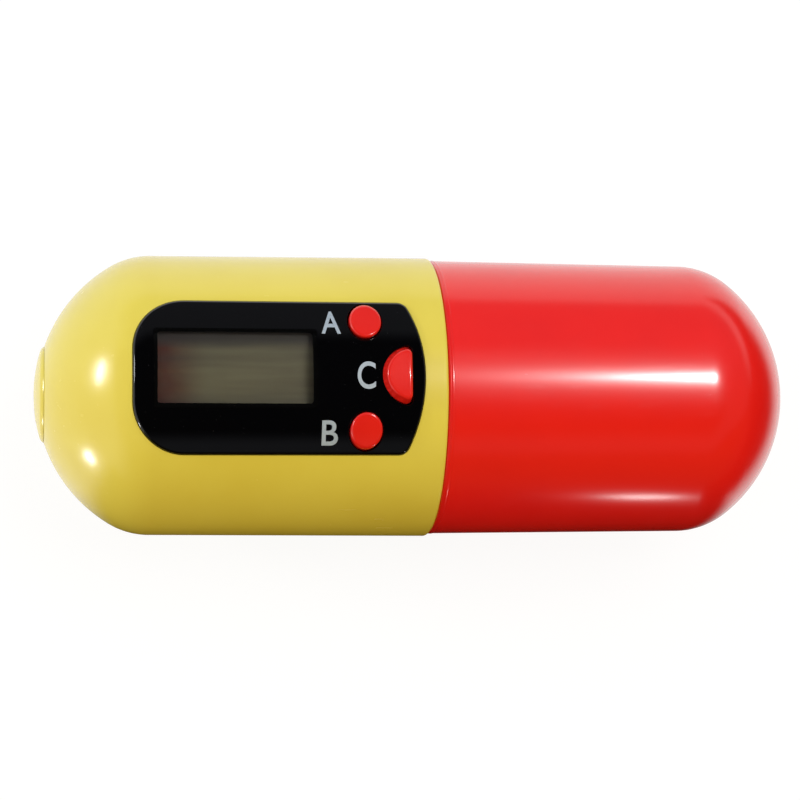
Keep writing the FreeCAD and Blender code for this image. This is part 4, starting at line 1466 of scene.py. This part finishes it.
@dataclass
class FrontPanel:
    """Black curved panel with its window, keys and printed letters."""

    skin: CapsuleHalf = TIMER_SKIN
    left: float = -42.7
    right: float = -3.25
    half_width: float = 10.5
    corner: float = 7.0
    end_radius: float = 24.0
    end_corner: float = 1.5
    thickness: float = 1.4
    proud: float = 0.4
    edge_round: float = 0.35
    gap: float = 0.08
    window_low: Pair = (-39.95, -4.6)
    window_high: Pair = (-18.0, 6.3)
    window_gap: float = 0.03
    aperture_low: Pair = (-39.4, -3.8)
    aperture_high: Pair = (-18.45, 6.0)
    mask_thickness: float = 0.2
    mask_reach: float = 0.75
    window_corner: float = 0.4
    window_thickness: float = 0.9
    window_round: float = 0.1
    frame_wall: float = 0.3
    display_top: float = 17.364
    key_x: float = -11.35
    key_y: float = 7.5
    key_half: Pair = (2.19, 2.4)
    key_height: float = 0.9
    key_round: float = 0.42
    key_gap: float = 0.2
    half_key_x: float = -5.2
    half_key_radius: float = 3.95
    half_key_top_radius: float = 3.3
    half_key_corner: float = 0.75
    hole_round: float = 0.12
    half_key_height: float = 1.15
    half_key_stem: float = 2.4
    skirt: float = 1.0
    stem_radius: float = 1.1
    stem_shift: float = 1.3
    stem_low: float = 14.55
    pitch: float = 0.6
    letter_weight: float = 0.012
    ink: float = 0.02
    corner_steps: int = 22
    end_corner_steps: int = 8
    end_steps: int = 30
    edge_steps: int = 6
    window_steps: int = 3
    hole_steps: int = 3
    key_steps: int = 5
    letter_steps: int = 10

    def outline(self, piece: Piece, inset: float, z: float) -> Loop:
        """Draw the panel's outline moved in by inset.

        Args:
            piece: The mesh to draw in.
            inset: Distance from the outer edge.
            z: Height of the plane.

        Returns:
            The edges of the loop.
        """
        left = self.left + inset
        half = self.half_width - inset
        corner = self.corner - inset
        end = self.end_radius - inset
        small = self.end_corner - inset
        centre = self.right - self.end_radius
        small_x = centre + math.sqrt((end - small) ** 2 - (half - small) ** 2)
        lean = math.atan2(half - small, small_x - centre)
        pen = piece.pen(left, corner - half, z)
        pen.line(left, half - corner)
        pen.arc(left + corner, half - corner, -QUARTER_TURN, self.corner_steps)
        pen.line(small_x, half)
        pen.arc(small_x, half - small, lean - QUARTER_TURN, self.end_corner_steps)
        pen.arc(centre, 0.0, -2.0 * lean, self.end_steps)
        pen.arc(small_x, small - half, lean - QUARTER_TURN, self.end_corner_steps)
        pen.line(left + corner, -half)
        pen.arc(left + corner, corner - half, -QUARTER_TURN, self.corner_steps)
        return pen.close()

    def window_loop(self, piece: Piece, margin: float, z: float) -> Loop:
        """Draw the window's outline widened by a margin."""
        return piece.rounded_rectangle(self.window_low, self.window_high, margin, self.window_corner, z)

    def key_loop(self, piece: Piece, y: float, margin: float, z: float) -> Loop:
        """Draw a round key's outline widened by a margin."""
        half = (self.key_half[0] + margin, self.key_half[1] + margin)
        return piece.oval(self.key_x, y, half, z)

    def half_key_loop(self, piece: Piece, margin: float, z: float) -> Loop:
        """Draw the half-moon key's outline widened by a margin."""
        radius = self.half_key_radius + margin
        return piece.half_moon(self.half_key_x + margin, radius, self.half_key_corner, z)

    def hole(self, piece: Piece, draw: Callable[[float, float], Loop]) -> tuple[Loop, Loop]:
        """Make the wall of a key hole, with a round upper edge.

        Args:
            piece: The flat plate.
            draw: Draws the key's outline for a margin and a height.

        Returns:
            The hole's loops on the top and on the underside of the plate.
        """
        top = draw(self.key_gap + self.hole_round, 0.0)
        upper = top
        for step in range(1, self.hole_steps + 1):
            angle = QUARTER_TURN * step / self.hole_steps
            margin = self.key_gap + self.hole_round * (1.0 - math.sin(angle))
            lower = draw(margin, self.hole_round * (math.cos(angle) - 1.0))
            bmesh.ops.bridge_loops(piece.bm, edges=[*upper, *lower])
            upper = lower
        return top, piece.drop_loop(upper, self.thickness - self.hole_round)

    def slices(self, piece: Piece, low: Pair, high: Pair) -> None:
        """Cut a flat piece finely enough to bend, over a plan area."""
        piece.slice(Axis.Y, low[1], high[1], self.pitch)
        piece.slice(Axis.X, low[0], high[0], 2.0 * self.pitch)

    def build_plate(self) -> None:
        """Make the plate flat with its rounded edge and holes, and bend it."""
        piece = Piece("black_panel")
        foot = self.outline(piece, 0.0, -self.thickness)
        cap = piece.raise_cap(foot, self.thickness, self.edge_round, self.edge_steps)
        rim = list(cap.edges)
        bmesh.ops.delete(piece.bm, geom=[cap], context="FACES_ONLY")
        pane = self.window_loop(piece, self.window_gap, 0.0)
        holes = [
            (pane, piece.drop_loop(pane, self.thickness)),
            self.hole(piece, lambda margin, z: self.key_loop(piece, self.key_y, margin, z)),
            self.hole(piece, lambda margin, z: self.key_loop(piece, -self.key_y, margin, z)),
            self.hole(piece, lambda margin, z: self.half_key_loop(piece, margin, z)),
        ]
        piece.fill_between([rim, *(top for top, _ in holes)])
        piece.fill_between([foot, *(under for _, under in holes)])
        piece.seal()
        self.slices(piece, (self.left, -self.half_width), (self.right, self.half_width))
        piece.slice(Axis.X, self.left, self.left + self.corner, self.pitch / 2)
        piece.bend(self.skin, -self.proud)
        piece.absorb(self.mask())
        piece.polish = [(self.skin, -self.proud)]
        piece.finish(PANEL_BLACK, Body.TIMER, "black_panel", ["front_panel"])

    def flat_ring(self, piece: Piece, margins: Pair, low: Pair, high: Pair) -> None:
        """Make a flat ring below height 0 that can bend.

        Args:
            piece: The mesh to draw in.
            margins: How far the ring reaches out from a rectangle, and in towards it.
            low: Corner of the rectangle with the lowest X and Y.
            high: Opposite corner.
        """
        corner = self.window_corner
        tops = [piece.rounded_rectangle(low, high, margin, corner, 0.0) for margin in margins]
        feet = [piece.drop_loop(loop, RING_HEIGHT) for loop in tops]
        piece.fill_between(tops)
        piece.fill_between(feet)
        piece.seal()
        self.slices(piece, low, high)

    def mask(self) -> Piece:
        """Make the thin dark mask under the window, which leaves the display's aperture open."""
        piece = Piece("mask")
        self.flat_ring(piece, (self.mask_reach, 0.0), self.aperture_low, self.aperture_high)
        for vert in piece.bm.verts:
            vert.co.z *= self.mask_thickness / RING_HEIGHT
        piece.bend(self.skin, self.window_thickness - self.proud)
        return piece

    def build_display_frame(self) -> None:
        """Make the panel's frame between mask and display: curved on top and flat below."""
        piece = Piece("display_frame")
        margins = (self.mask_reach, self.mask_reach - self.frame_wall)
        self.flat_ring(piece, margins, self.aperture_low, self.aperture_high)
        under_mask = self.window_thickness + self.mask_thickness - self.proud
        for vert in piece.bm.verts:
            top = self.skin.height_at(vert.co.x, vert.co.y, under_mask)
            vert.co.z = top if vert.co.z > -RING_HEIGHT / 2 else self.display_top
        piece.finish(FRAME_GREY, Body.TIMER, "black_panel")

    def build_window(self) -> None:
        """Make the clear window, flush with the panel."""
        piece = Piece("clear_window")
        foot = self.window_loop(piece, 0.0, -self.window_thickness)
        piece.raise_cap(foot, self.window_thickness, self.window_round, self.window_steps)
        piece.fill(foot)
        piece.seal()
        self.slices(piece, self.window_low, self.window_high)
        piece.bend(self.skin, -self.proud)
        piece.polish = [(self.skin, -self.proud)]
        piece.finish(WINDOW_CLEAR, Body.TIMER, "clear_window", ["display_window"])

    def build_round_key(self, name: str, sign: int, body: Body, node: str) -> None:
        """Make a round key whose top follows the panel.

        Args:
            name: Name of the piece.
            sign: 1 for the upper key, -1 for the lower one.
            body: Body that carries it.
            node: CAD node that it stands for.
        """
        piece = Piece(name)
        y = sign * self.key_y
        depth = self.key_height + self.thickness + self.skirt
        foot = self.key_loop(piece, y, 0.0, -depth)
        piece.raise_cap(foot, depth, self.key_round, self.key_steps)
        piece.fill(foot)
        piece.seal()
        reach_x, reach_y = self.key_half
        self.slices(piece, (self.key_x - reach_x, y - reach_y), (self.key_x + reach_x, y + reach_y))
        lift = -self.proud - self.key_height
        piece.bend(self.skin, lift)
        stem_y = y - sign * self.stem_shift
        stem_top = self.skin.height_at(self.key_x, y, self.skirt)
        piece.bar(self.stem_radius, (self.key_x, stem_y, self.stem_low), (self.key_x, stem_y, stem_top))
        piece.polish = [(self.skin, lift)]
        piece.finish(KEY_RED, body, "red_key", [node])

    def build_half_key(self) -> None:
        """Make the half-moon key, which slopes in towards its top on the round side."""
        piece = Piece("half_moon_key")
        depth = self.half_key_height + self.thickness + self.skirt
        foot = self.half_key_loop(piece, 0.0, -depth)
        waist = piece.drop_loop(foot, self.half_key_height - depth)
        brim = piece.drop_loop(waist, self.key_round - self.half_key_height)
        slope = (self.half_key_radius - self.half_key_top_radius) / self.half_key_height
        share = (self.half_key_top_radius + slope * self.key_round) / self.half_key_radius
        piece.scale_loop(brim, (self.half_key_x, 0.0), (share, share))
        piece.round_over(piece.fill(brim), self.key_round, self.key_steps)
        piece.fill(foot)
        piece.seal()
        reach = self.half_key_radius
        self.slices(piece, (self.half_key_x - reach, -reach), (self.half_key_x, reach))
        lift = -self.proud - self.half_key_height
        piece.bend(self.skin, lift)
        stem_x = self.half_key_x - self.half_key_stem
        stem_top = self.skin.height_at(stem_x, 0.0, self.skirt)
        piece.bar(self.stem_radius, (stem_x, 0.0, self.stem_low), (stem_x, 0.0, stem_top))
        piece.polish = [(self.skin, lift)]
        piece.finish(KEY_RED, Body.KEY_C, "red_key", ["button_c"])

    def letter(self, text: str, middle: Pair, size: Pair) -> Piece:
        """Make one printed letter as a thin film on the panel.

        Args:
            text: The letter.
            middle: Middle of the letter in plan.
            size: Width and height of the letter in plan.

        Returns:
            The letter's mesh.
        """
        font = bpy.data.curves.new("letter", "FONT")
        font.body = text
        font.resolution_u = self.letter_steps
        font.offset = self.letter_weight
        source = bpy.data.objects.new("letter", font)
        flat = bpy.data.meshes.new_from_object(source)
        piece = Piece("letter")
        piece.bm.from_mesh(flat)
        bpy.data.objects.remove(source)
        bpy.data.curves.remove(font)
        bpy.data.meshes.remove(flat)
        across = [vert.co.x for vert in piece.bm.verts]
        upward = [vert.co.y for vert in piece.bm.verts]
        centre = Vector((min(across) + max(across), min(upward) + max(upward), 0.0)) / 2
        width = max(across) - min(across)
        height = max(upward) - min(upward)
        stretch = Matrix.Diagonal((size[0] / width, size[1] / height, 1.0, 1.0))
        move = Matrix.Translation((*middle, -self.ink)) @ stretch @ Matrix.Translation(-centre)
        bmesh.ops.transform(piece.bm, matrix=move, verts=piece.bm.verts[:])
        grown = bmesh.ops.extrude_face_region(piece.bm, geom=piece.bm.faces[:])["geom"]
        upper = [item for item in grown if isinstance(item, BMVert)]
        bmesh.ops.translate(piece.bm, verts=upper, vec=(0.0, 0.0, 2.0 * self.ink))
        for face in piece.bm.faces:
            face.normal_update()
            if face.normal.z * face.calc_center_median().z < 0.0:
                face.normal_flip()
        piece.slice(Axis.Y, middle[1] - size[1] / 2, middle[1] + size[1] / 2, self.pitch / 2)
        piece.bend(self.skin, -self.proud)
        return piece

    def build_letters(self) -> None:
        """Print the three key letters."""
        group = Piece("key_letters")
        letters = (
            ("A", (-16.0, 7.35), (2.65, 3.28)),
            ("B", (-16.25, -7.75), (2.2, 3.25)),
            ("C", (-11.35, -0.05), (2.48, 3.75)),
        )
        for text, middle, size in letters:
            group.absorb(self.letter(text, middle, size))
        group.polish = [(self.skin, -self.proud - self.ink)]
        group.finish(KEY_INK, Body.TIMER, "black_panel")

    def build(self) -> None:
        """Build the panel and all that it carries."""
        self.build_plate()
        self.build_display_frame()
        self.build_window()
        self.build_round_key("round_key_a", 1, Body.KEY_A, "button_a")
        self.build_round_key("round_key_b", -1, Body.KEY_B, "button_b")
        self.build_half_key()
        self.build_letters()


@dataclass(frozen=True)
class Lamp:
    """A soft lamp, placed and aimed in the capsule's frame."""

    name: str
    place: Place
    aim: Place
    size: Pair
    watts: float
    lit: Lit = Lit.ALL

    def build(self) -> None:
        """Hang the lamp and turn it to its aim."""
        light = bpy.data.lights.new(self.name, "AREA")
        light.shape = "ELLIPSE"
        light.size = self.size[0] * MM
        light.size_y = self.size[1] * MM
        light.energy = self.watts
        item = new_object(self.name, light)
        item.visible_diffuse = self.lit is not Lit.MIRRORED
        item.visible_glossy = self.lit is not Lit.MATTE
        item.location = TO_FRAME @ Vector(self.place)
        item.rotation_euler = (Vector(self.aim) - Vector(self.place)).to_track_quat("-Z", "Y").to_euler()


LAMPS = (
    Lamp("overhead_lamp", (207.0, 80.0, 480.0), (28.0, 80.0, 10.0), (52.0, 110.0), 1.12, Lit.MIRRORED),
    Lamp("overhead_soft_lamp", (188.0, 95.0, 480.0), (0.0, 0.0, 10.0), (420.0, 300.0), 1.05, Lit.MATTE),
    Lamp("left_lamp", (-420.0, 82.0, 135.0), (-47.0, 0.0, 17.0), (110.0, 44.0), 0.45),
    Lamp("left_low_lamp", (-130.0, -60.0, -13.0), (-48.0, -11.0, 11.0), (14.0, 12.0), 0.016),
    Lamp("right_low_lamp", (58.3, -119.5, -10.3), (29.0, -15.5, 11.7), (13.0, 10.0), 0.0050, Lit.MIRRORED),
)


@dataclass
class Studio:
    """Floor, lamps, surroundings and camera.

    Spans and splays of the surroundings are parts of a direction of length 1.
    """

    floor_half: float = 2.5
    far_ambient: Colour = (0.68, 0.71, 0.85)
    near_ambient: Colour = (0.69, 0.47, 0.03)
    ambient_splay: float = 0.6
    ambient_span: Pair = (-0.8, 0.2)
    seen: Colour = (1.0, 1.0, 1.0)
    far_wall: Colour = (0.85, 0.85, 0.85)
    near_wall: Colour = (0.05, 0.045, 0.04)
    wall_span: Pair = (0.0, 0.6)
    end_wall: Colour = (0.88, 0.88, 0.86)
    end_span: Pair = (-0.35, -0.8)
    end_height_span: Pair = (0.6, 0.35)
    low_ceiling: Colour = (0.14, 0.145, 0.16)
    low_ceiling_height: float = 0.12
    low_ceiling_rise: float = 0.4
    low_ceiling_span: Pair = (-0.03, 0.09)
    high_ceiling: Colour = (0.008, 0.008, 0.01)
    high_ceiling_span: Pair = (0.66, 0.82)
    camera_place: Place = (-54.64, -47.96, 321.91)
    camera_forward: Place = (0.1548, 0.1443, -0.9774)
    camera_up: Place = (-0.0060, 0.9894, 0.1451)
    lens: float = 102.80
    clip_start: float = 0.01

    def build_floor(self) -> None:
        """Lay the floor under the capsule."""
        bm = bmesh.new()
        bmesh.ops.create_grid(bm, x_segments=4, y_segments=4, size=self.floor_half)
        made = bpy.data.meshes.new("floor")
        bm.to_mesh(made)
        bm.free()
        made.materials.append(StageWhite("stage_white").material())
        new_object("floor", made)

    def mirrored_room(self, graph: Graph, direction: Signal) -> Signal:
        """Colour that gloss mirrors: pale far and end walls, a dark near wall and dark ceilings."""
        along = graph.split(direction)
        across = along.output("Y")
        height = along.output("Z")
        horizon = graph.mix(self.near_wall, self.far_wall, graph.ramp(across, *self.wall_span))
        near = graph.ramp(across, self.wall_span[0], -self.wall_span[1])
        above = height - (self.low_ceiling_height + self.low_ceiling_rise * near)
        low = graph.mix(horizon, self.low_ceiling, graph.ramp(above, *self.low_ceiling_span))
        end = graph.ramp(along, *self.end_span) * graph.ramp(height, *self.end_height_span)
        lit = graph.mix(low, self.end_wall, end)
        return graph.mix(lit, self.high_ceiling, graph.ramp(height, *self.high_ceiling_span))

    def build_world(self) -> None:
        """Surroundings: white where they are seen, a room where gloss mirrors them, and ambient light."""
        world = bpy.data.worlds.new("surroundings")
        world.use_nodes = True
        bpy.context.scene.world = world
        graph = Graph(world.node_tree)
        direction = graph.add("ShaderNodeTexCoord", output="Generated")
        along = graph.split(direction)
        far = graph.ramp(along.output("Y") - self.ambient_splay * along, *self.ambient_span)
        ambient = graph.mix(self.near_ambient, self.far_ambient, far)
        unseen = graph.mix(ambient, self.mirrored_room(graph, direction), graph.rays(Ray.GLOSSY))
        colour = graph.mix(unseen, self.seen, graph.rays(Ray.CAMERA) + graph.rays(Ray.TRANSMISSION))
        background = graph.add("ShaderNodeBackground", None, {"Color": colour, "Strength": 1.0})
        graph.add("ShaderNodeOutputWorld", None, {"Surface": background})

    def build_camera(self) -> None:
        """Set the camera at the photograph's viewpoint."""
        forward = Vector(self.camera_forward).normalized()
        right = forward.cross(Vector(self.camera_up)).normalized()
        upward = right.cross(forward)
        data = bpy.data.cameras.new("camera")
        data.lens = self.lens
        data.clip_start = self.clip_start
        camera = new_object("camera", data)
        turn = Matrix((right, upward, -forward)).transposed().to_4x4()
        camera.matrix_world = Matrix.Translation(TO_FRAME @ Vector(self.camera_place)) @ turn
        bpy.context.scene.camera = camera

    def build(self) -> None:
        """Build the studio."""
        self.build_floor()
        self.build_world()
        self.build_camera()
        for lamp in LAMPS:
            lamp.build()
        bpy.context.scene.view_settings.view_transform = "Standard"


def dress_cad_nodes() -> None:
    """Give each CAD node that stays its finish."""
    for node, finish in CAD_FINISHES.items():
        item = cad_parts[node]
        item.data.materials.clear()
        item.data.materials.append(finish.material())
        LOG.info("%s: dressed in %s", node, finish.name)


def main() -> None:
    """Build the capsule and its studio."""
    logging.basicConfig(level=logging.INFO, format="%(name)s %(message)s")
    panel = FrontPanel()
    TimerShell().build(panel)
    BatteryCap().build()
    PillCup().build()
    neck = NeckPlug()
    neck.build_neck()
    neck.build_screws()
    panel.build()
    for key in "abc":
        KeyDome(key).build()
    dress_cad_nodes()
    Studio().build()


if __name__ == "__main__":
    main()
